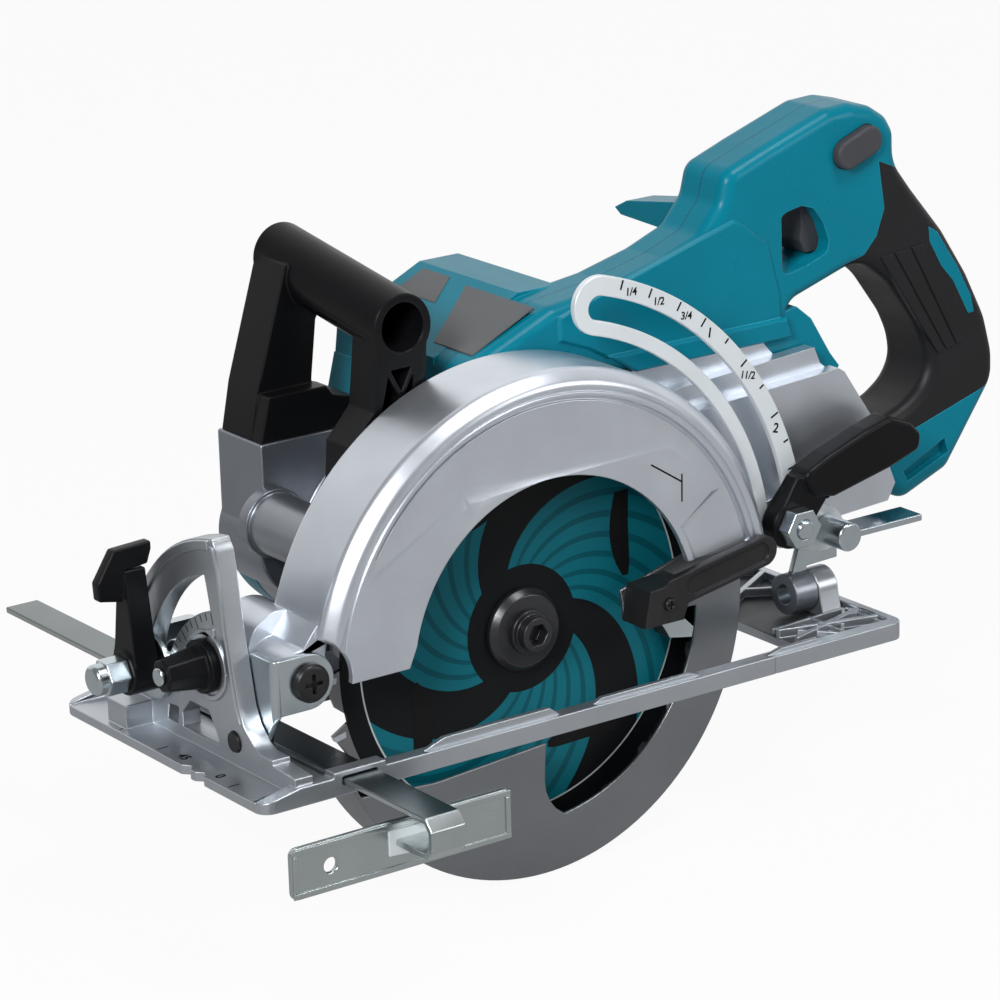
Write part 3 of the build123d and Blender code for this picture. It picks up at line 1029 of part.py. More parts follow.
cover_y = CASE_END_Y + SEAT_GAP
with BuildPart() as motor_end_cover:
    rod_y(MOTOR_X, MOTOR_Z, MOTOR_CASE_R, cover_y, COVER_END_Y)
    fillet(motor_end_cover.faces().sort_by(Axis.Y)[-1].edges(), 8)
    rod_y(MOTOR_X, MOTOR_Z, MOTOR_CASE_R - MOTOR_CASE_WALL, cover_y - 1, COVER_END_Y - MOTOR_CASE_WALL - 5,
          Mode.SUBTRACT)
    with BuildSketch(at_y(COVER_END_Y + 1)):
        with Locations((MOTOR_X, MOTOR_Z)):
            with GridLocations(0, 8, 1, 6):
                SlotOverall(44, 3)
    extrude(amount=20, mode=Mode.SUBTRACT)
save(motor_end_cover, "motor_end_cover")

# Handle form shared by both housing halves and the grip: outline, trigger hole and rounded edges
handle_low_y = HANDLE_Y - HANDLE_HALF
handle_high_y = HANDLE_Y + HANDLE_HALF
slope_join = tuple(high + SLOPE_SHARE * (low - high) for high, low in zip(SLOPE_HIGH, SLOPE_LOW))
handle_points = [(98, ARM_TOP_Z), (100, 131), (141, 148), (173.5, 152), (198, 158), (215.8, 164.7),
                 (225.3, 175.7), (228.5, 188), (247.7, 194.9), (281.1, 206), (294, 206.6), (305, 203.8),
                 (313, 198.5), (316.8, 192), (317, 179), (326.7, 166.2), (343.5, 146), (357, 125.3),
                 (367.2, 105.1), (371.5, 88.8), (371.5, 77), (365, 68), FOOT_HIGH, FOOT_LOW, (314, 38),
                 SLOPE_LOW, slope_join, (322, 73.8), (331, 79.8), (335.5, 88), (334, 98), (329.2, 108.2),
                 (315.1, 127.5), (299, 140.5), (262, 129.4), (256, ARM_TOP_Z)]
handle_radii = [GRIP_CURVE_R if x > 298 and 72 < z < 182 else HANDLE_CORNER_R for x, z in handle_points]
trigger_hole = [(255.6, 166.2), (258.8, 167.6), (266.2, 168.9), (272.7, 166.7), (277.6, 160),
                (280.5, 151.7), (279.4, 147.3), (269.2, 143.8), (255.8, 141.2)]
grip_zone = [(307, 181), (330, 171), (400, 140), (400, 84.5), (367.8, 75.3), (327.7, 63.8), (311, 59),
             (290, 62), (290, 100), (289, 140), (299, 142.9), (305.7, 149.7), (310, 160.9)]
with BuildPart() as handle_form:
    with BuildSketch(at_y(handle_high_y)) as handle_face:
        face_of(handle_points)
        soften(handle_face, handle_points, handle_radii)
    extrude(amount=2 * HANDLE_HALF)
    fillet(handle_form.faces().sort_by(Axis.Y)[0].outer_wire().edges(), HANDLE_EDGE_R)
    fillet(handle_form.faces().sort_by(Axis.Y)[-1].outer_wire().edges(), HANDLE_EDGE_R)
    with BuildSketch(at_y(handle_high_y + 1)) as hole_face:
        face_of(trigger_hole)
        soften(hole_face, trigger_hole, [TRIGGER_HOLE_R] * len(trigger_hole))
    extrude(amount=2 * HANDLE_HALF + 2, mode=Mode.SUBTRACT)
    # Tail that runs down beside the casting
    with BuildSketch(at_y(handle_high_y - 1)):
        face_of([(ARM_END_X, ARM_TOP_Z), (ARM_END_X + 2, 124), (264, 127), (271.5, 120.8), (281.3, 104.5),
                 (286.2, 98.2), TAIL_LOW, TAIL_HIGH])
    extrude(amount=2 * HANDLE_HALF - 2)

# Room for the rubber grip: its zone of the handle less the core inside
with BuildPart() as grip_room:
    with BuildSketch(at_y(handle_high_y + 1)):
        face_of(grip_zone)
    extrude(amount=2 * HANDLE_HALF + 2)
    with BuildSketch(at_y(handle_high_y - GRIP_T)) as core_face:
        face_of(handle_points)
        soften(core_face, handle_points, handle_radii)
        offset(amount=-GRIP_T, mode=Mode.REPLACE)
    extrude(amount=2 * (HANDLE_HALF - GRIP_T), mode=Mode.SUBTRACT)

# Hollow inside of the handle: body and switch rooms, grip passage and foot, with screw pillars
thin_half = HANDLE_HALF - HOUSING_WALL
thick_half = thin_half - GRIP_T
with BuildPart() as handle_inside:
    with BuildSketch(at_y(HANDLE_Y + thin_half)):
        face_of([(104, 120), (105, 126), (143, 142), (174, 146), (198, 152), (214, 158), (244, 164),
                 (246, 138), (246, 120)])
        face_of([(233, SWITCH_Z), (235, 184), (252, 189), (276, 196), (277, SWITCH_Z)])
    extrude(amount=2 * thin_half)
    with BuildSketch(at_y(HANDLE_Y + thick_half)):
        face_of([(314, 170), (336, 144), (350, 122), (360, 102), (365, 88), (365, 80), (342, 73), (336, 74),
                 (344, 86), (343, 100), (338, 112), (322, 134), (314, 144)])
        face_of([(316, 60), (330, 59), (360, 68), (345, 52), (335, 50), (322, 50)])
    extrude(amount=2 * thick_half)
    for x, z in HOUSING_SCREWS:
        rod_y(x, z, PILLAR_R, handle_low_y, handle_high_y, Mode.SUBTRACT)
    # Slots for the trigger, the lock-off button, the battery rails and the terminal block
    with Locations(Location(((TRIGGER_X + TRIGGER_END_X) / 2 + TRIGGER_TRAVEL / 2, HANDLE_Y, TRIGGER_Z))):
        Box(TRIGGER_END_X - TRIGGER_X + TRIGGER_TRAVEL + 2 * MOVE_GAP, TRIGGER_W + 2 * MOVE_GAP,
            TRIGGER_H + 2 * MOVE_GAP)
    with BuildSketch(at_y(handle_high_y + 1)):
        with Locations(Location((BUTTON_X, BUTTON_Z), BUTTON_LEAN)):
            SlotOverall(BUTTON_L + 2 * SIDE_GAP, BUTTON_H + 2 * SIDE_GAP)
    extrude(amount=2 * HANDLE_HALF + 2)
    with BuildSketch(at_y(handle_low_y + RAIL_DEPTH), at_y(handle_high_y + 1)):
        face_of([(320, 46), (343, 56), (345, 49.5), (322.5, 41)])
    extrude(amount=RAIL_DEPTH + 1)
    with BuildSketch(at_y(HANDLE_Y + TERMINAL_W / 2)):
        face_of(on_foot(TERMINAL_L, -1, TERMINAL_DEPTH))
    extrude(amount=TERMINAL_W)
    # Screw holes, with heads let into the motor side
    for x, z in HOUSING_SCREWS:
        rod_y(x, z, HOUSING_SCREW_R, HANDLE_Y - SCREW_BITE, handle_high_y, Mode.ADD)
        rod_y(x, z, HOUSING_HEAD_R, handle_high_y - HOUSING_HEAD_T, handle_high_y + 1, Mode.ADD)

with BuildPart() as housing_left_half:
    add(handle_form.part)
    add(grip_room.part, mode=Mode.SUBTRACT)
    add(handle_inside.part, mode=Mode.SUBTRACT)
    split(bisect_by=at_y(HANDLE_Y), keep=Keep.TOP)
save(housing_left_half, "housing_left_half")

# The motor-side half carries the roof over the motor and the hanging horn
with BuildPart() as housing_right_half:
    add(handle_form.part)
    split(bisect_by=at_y(HANDLE_Y), keep=Keep.BOTTOM)
    with BuildSketch(at_y(ROOF_END_Y)):
        face_of([(98, ARM_TOP_Z), (100, 131), (141, 150), (160, 150), (160, ARM_TOP_Z)])
    extrude(amount=ROOF_END_Y - HANDLE_Y - HANDLE_HALF / 2)
    with BuildSketch(at_y(ROOF_END_Y)):
        face_of([(92, 97), (98, ARM_TOP_Z + 4), (160, ARM_TOP_Z + 4), (160, 97)])
    extrude(amount=ROOF_END_Y - CASE_START_Y - SEAT_GAP)
    rod_y(MOTOR_X, MOTOR_Z, MOTOR_CASE_R + SEAT_GAP, CASE_START_Y, ROOF_END_Y + 1, Mode.SUBTRACT)
    with BuildSketch(at_y(ROOF_END_Y - HOUSING_WALL)):
        face_of([(103, CONTROLLER_Z), (105, 128), (141, 145), (155, 145), (155, CONTROLLER_Z)])
    extrude(amount=ROOF_END_Y - HOUSING_WALL - CASE_START_Y - SEAT_GAP - HOUSING_WALL, mode=Mode.SUBTRACT)
    with BuildSketch(at_x(HORN_X)):
        face_of([(HANDLE_Y + HANDLE_HALF / 2, HORN_Z - 5), (HORN_END_Y - 4, HORN_Z - 3.5),
                 (HORN_END_Y, HORN_Z - 1), (HORN_END_Y - 8, HORN_Z + 3),
                 (HANDLE_Y + HANDLE_HALF / 2, HORN_Z + 9)])
    extrude(amount=HORN_W)
    add(grip_room.part, mode=Mode.SUBTRACT)
    add(handle_inside.part, mode=Mode.SUBTRACT)
save(housing_right_half, "housing_right_half")

with BuildPart() as handle_grip:
    add(handle_form.part)
    add(grip_room.part, mode=Mode.INTERSECT)
save(handle_grip, "handle_grip")

with BuildPart() as housing_screws:
    for x, z in HOUSING_SCREWS:
        rod_y(x, z, HOUSING_SCREW_R, HANDLE_Y - SCREW_BITE, handle_high_y - HOUSING_HEAD_T)
        rod_y(x, z, HOUSING_HEAD_R, handle_high_y - HOUSING_HEAD_T, handle_high_y - 0.4)
save(housing_screws, "housing_screws")

# Trigger, lock-off button and switch
with BuildPart() as trigger:
    with BuildSketch(at_y(HANDLE_Y + TRIGGER_W / 2)):
        face_of([(TRIGGER_X, TRIGGER_Z + TRIGGER_H / 2), (TRIGGER_END_X, TRIGGER_Z + TRIGGER_H / 2),
                 (TRIGGER_END_X, TRIGGER_Z - TRIGGER_H / 2), (TRIGGER_X + 4, TRIGGER_Z - TRIGGER_H / 2),
                 (TRIGGER_X + 1, TRIGGER_Z - TRIGGER_H / 4), (TRIGGER_X + 2, TRIGGER_Z)])
    extrude(amount=TRIGGER_W)
    fillet(trigger.edges().filter_by(Axis.Z).group_by(Axis.X)[0], 1)
save(trigger, "trigger")

with BuildPart() as lock_off_button:
    with BuildSketch(at_y(HANDLE_Y + BUTTON_REACH)):
        with Locations(Location((BUTTON_X, BUTTON_Z), BUTTON_LEAN)):
            SlotOverall(BUTTON_L, BUTTON_H)
    extrude(amount=2 * BUTTON_REACH)
    fillet(lock_off_button.faces().sort_by(Axis.Y)[0].edges(), 1.5)
    fillet(lock_off_button.faces().sort_by(Axis.Y)[-1].edges(), 1.5)
save(lock_off_button, "lock_off_button")

with BuildPart() as switch:
    with BuildSketch(at_y(HANDLE_Y + SWITCH_W / 2)):
        face_of([(246, SWITCH_Z), (275, SWITCH_Z), (275, 193), (246, 185)])
    extrude(amount=SWITCH_W)
save(switch, "switch")

# Controller under the roof
with BuildPart() as controller:
    with Locations(Location((130, (CASE_START_Y + ROOF_END_Y) / 2, CONTROLLER_Z))):
        Box(44, ROOF_END_Y - CASE_START_Y - 14, 13, align=(Align.CENTER, Align.CENTER, Align.MIN))
save(controller, "controller")

# Terminal block and its three blades, let into the foot
with BuildPart() as terminal_block:
    with BuildSketch(at_y(HANDLE_Y + TERMINAL_W / 2)):
        face_of(on_foot(TERMINAL_L, TERMINAL_DEPTH / 3, TERMINAL_DEPTH))
    extrude(amount=TERMINAL_W)
save(terminal_block, "terminal_block")

with BuildPart() as terminals:
    for y in (HANDLE_Y - 6, HANDLE_Y, HANDLE_Y + 6):
        with BuildSketch(at_y(y + 0.5)):
            face_of(on_foot(TERMINAL_L * 0.6, 0.3, TERMINAL_DEPTH / 3))
        extrude(amount=1)
save(terminals, "terminals")

# Front handle: a bar across the saw on two legs, with an open tube end on the blade side
bar_run = (BAR_FAR_X - BAR_NEAR_X, FAR_LEG_Y - NEAR_LEG_Y, BAR_FAR_Z - BAR_NEAR_Z)
bar_end = Plane(origin=(BAR_NEAR_X, NEAR_LEG_Y, BAR_NEAR_Z), z_dir=bar_run)
with BuildPart() as front_handle:
    with BuildSketch(bar_end.offset(-10)):
        Circle(BAR_R)
    extrude(amount=FAR_LEG_Y - NEAR_LEG_Y + 25)
    with BuildSketch(at_y(NEAR_LEG_Y + LEG_T)):
        face_of([(BAR_NEAR_X + 11, BAR_NEAR_Z - 5), (79, 107), (51, 96), (48, 86), (43, 86), (45, 110),
                 (56, 122), (BAR_NEAR_X - 12, BAR_NEAR_Z - 3)])
    extrude(amount=LEG_T)
    with BuildSketch(at_y(FAR_LEG_Y)):
        face_of([(BAR_FAR_X - 12, BAR_FAR_Z + 2), (39, 122), (PAD_FRONT_X + 1, PAD_Z), (64, PAD_Z),
                 (64, PAD_Z + 20), (67, 146), (BAR_FAR_X + 12, BAR_FAR_Z)])
    extrude(amount=FAR_LEG_T)
    with BuildSketch(at_y(FAR_LEG_Y)):
        face_of([(39.5, PAD_Z + 18), (PAD_FRONT_X + 1, PAD_Z), (PAD_REAR_X, PAD_Z), (PAD_REAR_X, PAD_Z + 11),
                 (69, PAD_Z + 14), (66, PAD_Z + 18)])
    extrude(amount=FOOT_BLOCK_T)
    with BuildSketch(at_y(FAR_LEG_Y)):
        with Locations((BAR_FAR_X, PAD_Z + 40)):
            Rectangle(300, 300)
    extrude(amount=FAR_LEG_Y - NEAR_LEG_Y, mode=Mode.INTERSECT)
    # Open end of the bar, and pockets in both legs
    with BuildSketch(bar_end.offset(-BAR_R)):
        Circle(BAR_HOLE_R)
    extrude(amount=BAR_R + BAR_HOLE_DEPTH, mode=Mode.SUBTRACT)
    with BuildSketch(at_y(NEAR_LEG_Y + LEG_T - HOUSING_WALL)):
        face_of([(75, 137), (75, 110), (52, 101), (49, 110), (60, 120), (64, 137)])
        with Locations(Location((69.5, 126), 62), Location((69.5, 126), -62)):
            Rectangle(60, 2, mode=Mode.SUBTRACT)
        with Locations((65, 118)):
            Rectangle(40, 2, mode=Mode.SUBTRACT)
    extrude(amount=LEG_T, mode=Mode.SUBTRACT)
    with BuildSketch(at_y(FAR_LEG_Y)):
        face_of([(BAR_FAR_X - 8, BAR_FAR_Z - 14), (44, 122), (42, PAD_Z + HANDLE_FOOT_T),
                 (61, PAD_Z + HANDLE_FOOT_T), (61, 122), (63, 146), (BAR_FAR_X + 4, BAR_FAR_Z - 14)])
    extrude(amount=FAR_LEG_T - HOUSING_WALL, mode=Mode.SUBTRACT)
    for x in FOOT_SCREWS_X:
        with Locations(Location((x, FOOT_SCREW_Y, PAD_Z - 1))):
            Cylinder(HOUSING_SCREW_R, HANDLE_FOOT_T + 2, align=(Align.CENTER, Align.CENTER, Align.MIN),
                     mode=Mode.SUBTRACT)
save(front_handle, "front_handle")

# Tube between guard and motor case, and the rubber bumper beside it
with BuildPart() as front_tube:
    rod_y(TUBE_X, TUBE_Z, TUBE_R, UPPER_BACK_Y, PAD_Y)
    rod_y(TUBE_X, TUBE_Z, TUBE_R + 1.5, PAD_Y - 6, PAD_Y)
save(front_tube, "front_tube")

with BuildPart() as guard_bumper:
    with Locations(Location((BUMPER_X, UPPER_BACK_Y, BUMPER_Z))):
        Box(BUMPER_W, 16, BUMPER_H, align=(Align.CENTER, Align.MIN, Align.CENTER))
    with BuildSketch(at_x(BUMPER_X - BUMPER_W / 2)):
        with Locations((UPPER_BACK_Y + 8, BUMPER_Z)):
            with GridLocations(4, 0, 3, 1):
                Rectangle(1.4, BUMPER_H + 2)
    extrude(amount=1, mode=Mode.SUBTRACT)
save(guard_bumper, "guard_bumper")

# Rip fence: bar through the base, folded under at the outer end, with the fence plate
fence_mid = FENCE_X + FENCE_W / 2
with BuildPart() as rip_fence:
    with BuildSketch(at_x(FENCE_X)):
        face_of([(FENCE_FAR_Y, FENCE_Z), (FENCE_FAR_Y, FENCE_Z + FENCE_T),
                 (FENCE_OUT_Y, FENCE_Z + FENCE_T), (FENCE_OUT_Y - FENCE_T - 1.5, FENCE_Z - 2),
                 (FENCE_OUT_Y - FENCE_T - 1.5, FENCE_FOLD_Z + 4), (FENCE_OUT_Y, FENCE_FOLD_Z),
                 (FENCE_PLATE_Y, FENCE_FOLD_Z), (FENCE_PLATE_Y, FENCE_FOLD_Z + FENCE_T),
                 (FENCE_OUT_Y + 1, FENCE_FOLD_Z + FENCE_T),
                 (FENCE_OUT_Y - 1.5, FENCE_FOLD_Z + FENCE_T + 3),
                 (FENCE_OUT_Y - 1.5, FENCE_Z - 3), (FENCE_OUT_Y + 1, FENCE_Z)])
    extrude(amount=FENCE_W)
    with BuildSketch(at_y(FENCE_PLATE_Y + FENCE_T)):
        with Locations((fence_mid - 4, FENCE_LOW_Z + FENCE_PLATE_H / 2)):
            RectangleRounded(FENCE_PLATE_L, FENCE_PLATE_H, 3)
        with Locations((fence_mid - FENCE_PLATE_L / 2 + 13, FENCE_LOW_Z + FENCE_PLATE_H / 2)):
            Circle(FENCE_HOLE_R, mode=Mode.SUBTRACT)
    extrude(amount=FENCE_T)
save(rip_fence, "rip_fence")

with BuildPart() as fence_clamp_screw:
    with Locations(Location((fence_mid, BASE_MOTOR_Y - 12, FENCE_Z + FENCE_T + SIDE_GAP))):
        Cylinder(FENCE_SCREW_R, 16, align=(Align.CENTER, Align.CENTER, Align.MIN))
    with BuildSketch(Plane.XY.offset(FENCE_Z + FENCE_T + SIDE_GAP + 14)):
        with Locations((fence_mid, BASE_MOTOR_Y - 12)):
            SlotOverall(22, 5)
    extrude(amount=10)
save(fence_clamp_screw, "fence_clamp_screw")

# Screws that hold the upper guard and the front handle
with BuildPart() as guard_screws:
    for angle in GUARD_SCREW_ANGLES:
        x, z = on_circle(ARBOR_X, ARBOR_Z, GUARD_SCREW_R, angle)
        rod_y(x, z, HOUSING_HEAD_R, LOWER_BACK_Y + MOVE_GAP, UPPER_BACK_Y - UPPER_BACK_T)
        rod_y(x, z, HOUSING_SCREW_R, UPPER_BACK_Y - UPPER_BACK_T, HOUSING_FACE_Y + FLANGE_STEP)
save(guard_screws, "guard_screws")

with BuildPart() as front_handle_screws:
    for x in FOOT_SCREWS_X:
        with Locations(Location((x, FOOT_SCREW_Y, PAD_Z - FOOT_SCREW_BITE))):
            Cylinder(HOUSING_SCREW_R, HANDLE_FOOT_T + FOOT_SCREW_BITE,
                     align=(Align.CENTER, Align.CENTER, Align.MIN))
        with Locations(Location((x, FOOT_SCREW_Y, PAD_Z + HANDLE_FOOT_T))):
            Cylinder(HOUSING_HEAD_R, 2, align=(Align.CENTER, Align.CENTER, Align.MIN))
save(front_handle_screws, "front_handle_screws")
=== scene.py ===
"""Looks of a cordless rear-handle circular saw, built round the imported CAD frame."""

from __future__ import annotations

import json
import logging
import math
from contextlib import contextmanager
from dataclasses import dataclass, replace
from enum import Enum
from typing import Callable, Iterable, Iterator, Sequence

import bmesh
import bpy
from mathutils import Matrix, Vector
from mathutils.bvhtree import BVHTree

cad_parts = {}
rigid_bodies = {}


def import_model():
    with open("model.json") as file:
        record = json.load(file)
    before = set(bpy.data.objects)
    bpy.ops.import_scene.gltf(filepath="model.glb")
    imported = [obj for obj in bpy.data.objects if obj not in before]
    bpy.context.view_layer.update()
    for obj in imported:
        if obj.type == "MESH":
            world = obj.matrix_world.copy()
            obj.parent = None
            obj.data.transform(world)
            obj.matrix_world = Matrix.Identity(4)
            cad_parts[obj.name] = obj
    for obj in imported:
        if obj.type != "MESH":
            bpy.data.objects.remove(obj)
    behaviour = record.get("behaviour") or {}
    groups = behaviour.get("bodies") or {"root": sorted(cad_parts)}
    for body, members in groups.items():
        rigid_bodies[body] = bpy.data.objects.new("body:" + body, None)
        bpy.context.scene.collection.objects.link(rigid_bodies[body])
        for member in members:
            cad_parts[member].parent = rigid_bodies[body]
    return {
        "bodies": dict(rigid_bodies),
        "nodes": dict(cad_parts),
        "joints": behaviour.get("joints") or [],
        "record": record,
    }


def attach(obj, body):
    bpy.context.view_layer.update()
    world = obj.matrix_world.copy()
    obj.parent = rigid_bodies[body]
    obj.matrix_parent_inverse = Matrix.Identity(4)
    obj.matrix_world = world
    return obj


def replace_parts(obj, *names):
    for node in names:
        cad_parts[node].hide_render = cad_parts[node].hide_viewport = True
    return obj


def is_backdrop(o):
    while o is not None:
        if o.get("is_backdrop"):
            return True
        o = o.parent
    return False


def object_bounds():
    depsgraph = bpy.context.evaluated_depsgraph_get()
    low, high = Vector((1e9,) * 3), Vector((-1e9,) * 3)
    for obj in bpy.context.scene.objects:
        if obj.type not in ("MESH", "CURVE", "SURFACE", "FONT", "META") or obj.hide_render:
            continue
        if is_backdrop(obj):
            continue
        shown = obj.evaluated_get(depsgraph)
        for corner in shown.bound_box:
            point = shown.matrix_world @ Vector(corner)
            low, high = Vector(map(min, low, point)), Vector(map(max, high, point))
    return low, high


LOG = logging.getLogger("circular_saw")
MM = 0.001
Pair = tuple[float, float]
Triple = tuple[float, float, float]
Colour = Triple
Outline = tuple[Pair, ...]
Piece = bpy.types.Object
Node = bpy.types.Node
Socket = bpy.types.NodeSocket
Place = Callable[[Vector], bool]
ARBOR: Pair = (111.0, 27.3)
TILT: Pair = (-4.0, 13.5)


class Facing(Enum):
    """The plane that an outline is drawn in; its name says which way the face looks."""

    SIDE = "y"
    FRONT = "x"
    TOP = "z"

    def point(self, u: float, v: float, depth: float) -> Vector:
        """A point of the frame in metres, from outline millimetres."""
        places = {Facing.SIDE: (u, depth, v), Facing.FRONT: (depth, u, v), Facing.TOP: (u, v, depth)}
        return Vector(places[self]) * MM

    @property
    def axis(self) -> Vector:
        """The direction that an outline is thickened along."""
        return {Facing.SIDE: Vector((0, 1, 0)), Facing.FRONT: Vector((1, 0, 0)),
                Facing.TOP: Vector((0, 0, 1))}[self]


def everywhere(_: Vector) -> bool:
    """Every place on a piece."""
    return True


def polar(centre: Pair, radius: float, angle: float) -> Pair:
    """A point on a circle, by its angle in degrees."""
    turn = math.radians(angle)
    return (centre[0] + radius * math.cos(turn), centre[1] + radius * math.sin(turn))


def arc(centre: Pair, radius: float, start: float, stop: float, count: int) -> list[Pair]:
    """Points along an arc from one angle to another, in degrees."""
    return [polar(centre, radius, start + (stop - start) * i / (count - 1)) for i in range(count)]


def band(centre: Pair, inner: float, outer: float, start: float, stop: float, count: int = 24) -> list[Pair]:
    """The outline of part of a ring."""
    return arc(centre, outer, start, stop, count) + arc(centre, inner, stop, start, count)


class Bench:
    """Modelling steps that every sub-assembly uses."""

    @staticmethod
    def take(piece: Piece) -> None:
        """Leave one piece selected and active."""
        if bpy.context.object and bpy.context.object.mode != "OBJECT":
            bpy.ops.object.mode_set(mode="OBJECT")
        bpy.ops.object.select_all(action="DESELECT")
        piece.select_set(True)
        bpy.context.view_layer.objects.active = piece

    @classmethod
    @contextmanager
    def editing(cls, piece: Piece) -> Iterator[None]:
        """Edit a piece's mesh, with all of it selected."""
        cls.take(piece)
        bpy.ops.object.mode_set(mode="EDIT")
        bpy.ops.mesh.select_all(action="SELECT")
        yield
        bpy.ops.object.mode_set(mode="OBJECT")

    @classmethod
    def prism(cls, name: str, outline: Sequence[Pair], facing: Facing, start: float,
              depth: float) -> Piece:
        """A flat outline thickened along its facing.

        Args:
            name: The piece's name.
            outline: Corners in millimetres, in order.
            facing: The plane of the outline.
            start: Where the outline lies along the facing's axis, in millimetres.
            depth: How far it is thickened, in millimetres.

        Returns:
            The new piece.
        """
        bpy.ops.object.select_all(action="DESELECT")
        bpy.ops.mesh.primitive_circle_add(vertices=len(outline), fill_type="NGON", location=(0, 0, 0))
        piece = bpy.context.active_object
        piece.name = name
        for vertex, (u, v) in zip(piece.data.vertices, outline):
            vertex.co = facing.point(u, v, start)
        with cls.editing(piece):
            bpy.ops.mesh.extrude_region_move(TRANSFORM_OT_translate={"value": facing.axis * depth * MM})
            bpy.ops.mesh.select_all(action="SELECT")
            bpy.ops.mesh.normals_make_consistent(inside=False)
        return piece

    @classmethod
    def loft(cls, name: str, near: Sequence[Pair], far: Sequence[Pair], facing: Facing, start: float,
             depth: float) -> Piece:
        """A solid between two outlines of as many corners.

        Args:
            name: The piece's name.
            near: Corners at the start, in millimetres.
            far: The matching corners at the other end.
            facing: The plane of the outlines.
            start: Where the near outline lies along the facing's axis.
            depth: How far off the far outline lies.

        Returns:
            The new piece.
        """
        piece = cls.prism(name, near, facing, start, depth)
        goals = [(facing.point(*corner, start + depth), facing.point(*goal, start + depth))
                 for corner, goal in zip(near, far)]
        for vertex in piece.data.vertices:
            spot, goal = min(goals, key=lambda pair: (pair[0] - vertex.co).length_squared)
            if (spot - vertex.co).length < 0.001 * MM:
                vertex.co = goal
        return piece

    @classmethod
    def join(cls, name: str, pieces: Sequence[Piece]) -> Piece:
        """Make one piece of several."""
        bpy.ops.object.select_all(action="DESELECT")
        for piece in pieces:
            piece.select_set(True)
        bpy.context.view_layer.objects.active = pieces[0]
        bpy.ops.object.join()
        pieces[0].name = name
        return pieces[0]

    @classmethod
    def strokes(cls, name: str, lines: Iterable[tuple[Pair, Pair]], width: float, facing: Facing, start: float,
                depth: float) -> Piece:
        """Straight bars between pairs of points, as one piece.

        Args:
            name: The piece's name.
            lines: The two ends of each bar, in millimetres.
            width: Width of the bars.
            facing: The plane of the lines.
            start: Where the lines lie along the facing's axis.
            depth: How far they are thickened.

        Returns:
            The new piece.
        """
        bars = []
        for low, high in lines:
            aside = Vector((high[0] - low[0], high[1] - low[1])).orthogonal().normalized() * width / 2
            outline = [(u + side * aside.x, v + side * aside.y)
                       for (u, v), side in ((low, 1), (low, -1), (high, -1), (high, 1))]
            bars.append(cls.prism(name, outline, facing, start, depth))
        return cls.join(name, bars)

    @classmethod
    def copy_of(cls, node: str) -> Piece:
        """A workable copy of a CAD node: welded, with its flat faces made whole.

        Args:
            node: The CAD node's name.

        Returns:
            The copy, named after the node.
        """
        source = bpy.data.objects[node]
        piece = bpy.data.objects.new(f"{node}_finished", source.data.copy())
        bpy.context.scene.collection.objects.link(piece)
        with cls.editing(piece):
            bpy.ops.mesh.remove_doubles(threshold=0.01 * MM)
            bpy.ops.mesh.dissolve_limited(angle_limit=math.radians(0.6))
        return piece

    @classmethod
    def round_edges(cls, piece: Piece, width: float, segments: int = 2, angle: float = 32.0,
                    where: Place = everywhere) -> None:
        """Round the sharp edges of a piece, and draw back any corner that left its old surface.

        Args:
            piece: The piece to round.
            width: Width of the rounding in millimetres.
            segments: Steps across the rounding.
            angle: Edges sharper than this many degrees are rounded.
            where: Says by its middle, in millimetres, whether an edge is rounded.
        """
        old = BVHTree.FromPolygons([v.co for v in piece.data.vertices],
                                   [p.vertices for p in piece.data.polygons])
        cls.take(piece)
        cls.pick_edges(piece, angle, where)
        bpy.ops.object.mode_set(mode="EDIT")
        bpy.ops.mesh.bevel(offset=width * MM, segments=segments, affect="EDGES", clamp_overlap=False,
                           loop_slide=False, miter_outer="ARC")
        bpy.ops.object.mode_set(mode="OBJECT")
        for vertex in piece.data.vertices:
            near, _, _, gap = old.find_nearest(vertex.co)
            if gap > 0.5 * width * MM:
                vertex.co = near
        cls.smooth(piece)

    @classmethod
    def rounded_prisms(cls, name: str, outlines: Iterable[Sequence[Pair]], facing: Facing, start: float,
                       depth: float, width: float, segments: int = 2) -> Piece:
        """Outlines thickened along their facing and rounded, as one piece.

        Args:
            name: The piece's name.
            outlines: Corners of each outline in millimetres, in order.
            facing: The plane of the outlines.
            start: Where they lie along the facing's axis.
            depth: How far they are thickened.
            width: Width of the rounding.
            segments: Steps across the rounding.

        Returns:
            The new piece.
        """
        pieces = []
        for outline in outlines:
            pieces.append(cls.prism(name, outline, facing, start, depth))
            cls.round_edges(pieces[-1], width, segments)
        return cls.join(name, pieces)

    @classmethod
    def pick_edges(cls, piece: Piece, angle: float, where: Place) -> None:
        """Select the edges that are sharper than an angle and lie in a place."""
        form = bmesh.new()
        form.from_mesh(piece.data)
        limit = math.radians(angle)
        sharp = {edge.index for edge in form.edges if edge.is_manifold and edge.calc_face_angle() > limit
                 and where((edge.verts[0].co + edge.verts[1].co) / 2 / MM)}
        form.free()
        bpy.context.tool_settings.mesh_select_mode = (False, True, False)
        for vertex in piece.data.vertices:
            vertex.select = False
        for face in piece.data.polygons:
            face.select = False
        for edge in piece.data.edges:
            edge.select = edge.index in sharp

    @classmethod
    def bisect(cls, piece: Piece, at: Sequence[float], normal: Sequence[float]) -> None:
        """Divide the faces of a piece where a plane crosses them.

        Args:
            piece: The piece.
            at: A point on the plane in millimetres.
            normal: The plane's normal.
        """
        with cls.editing(piece):
            bpy.ops.mesh.bisect(plane_co=Vector(at) * MM, plane_no=normal)

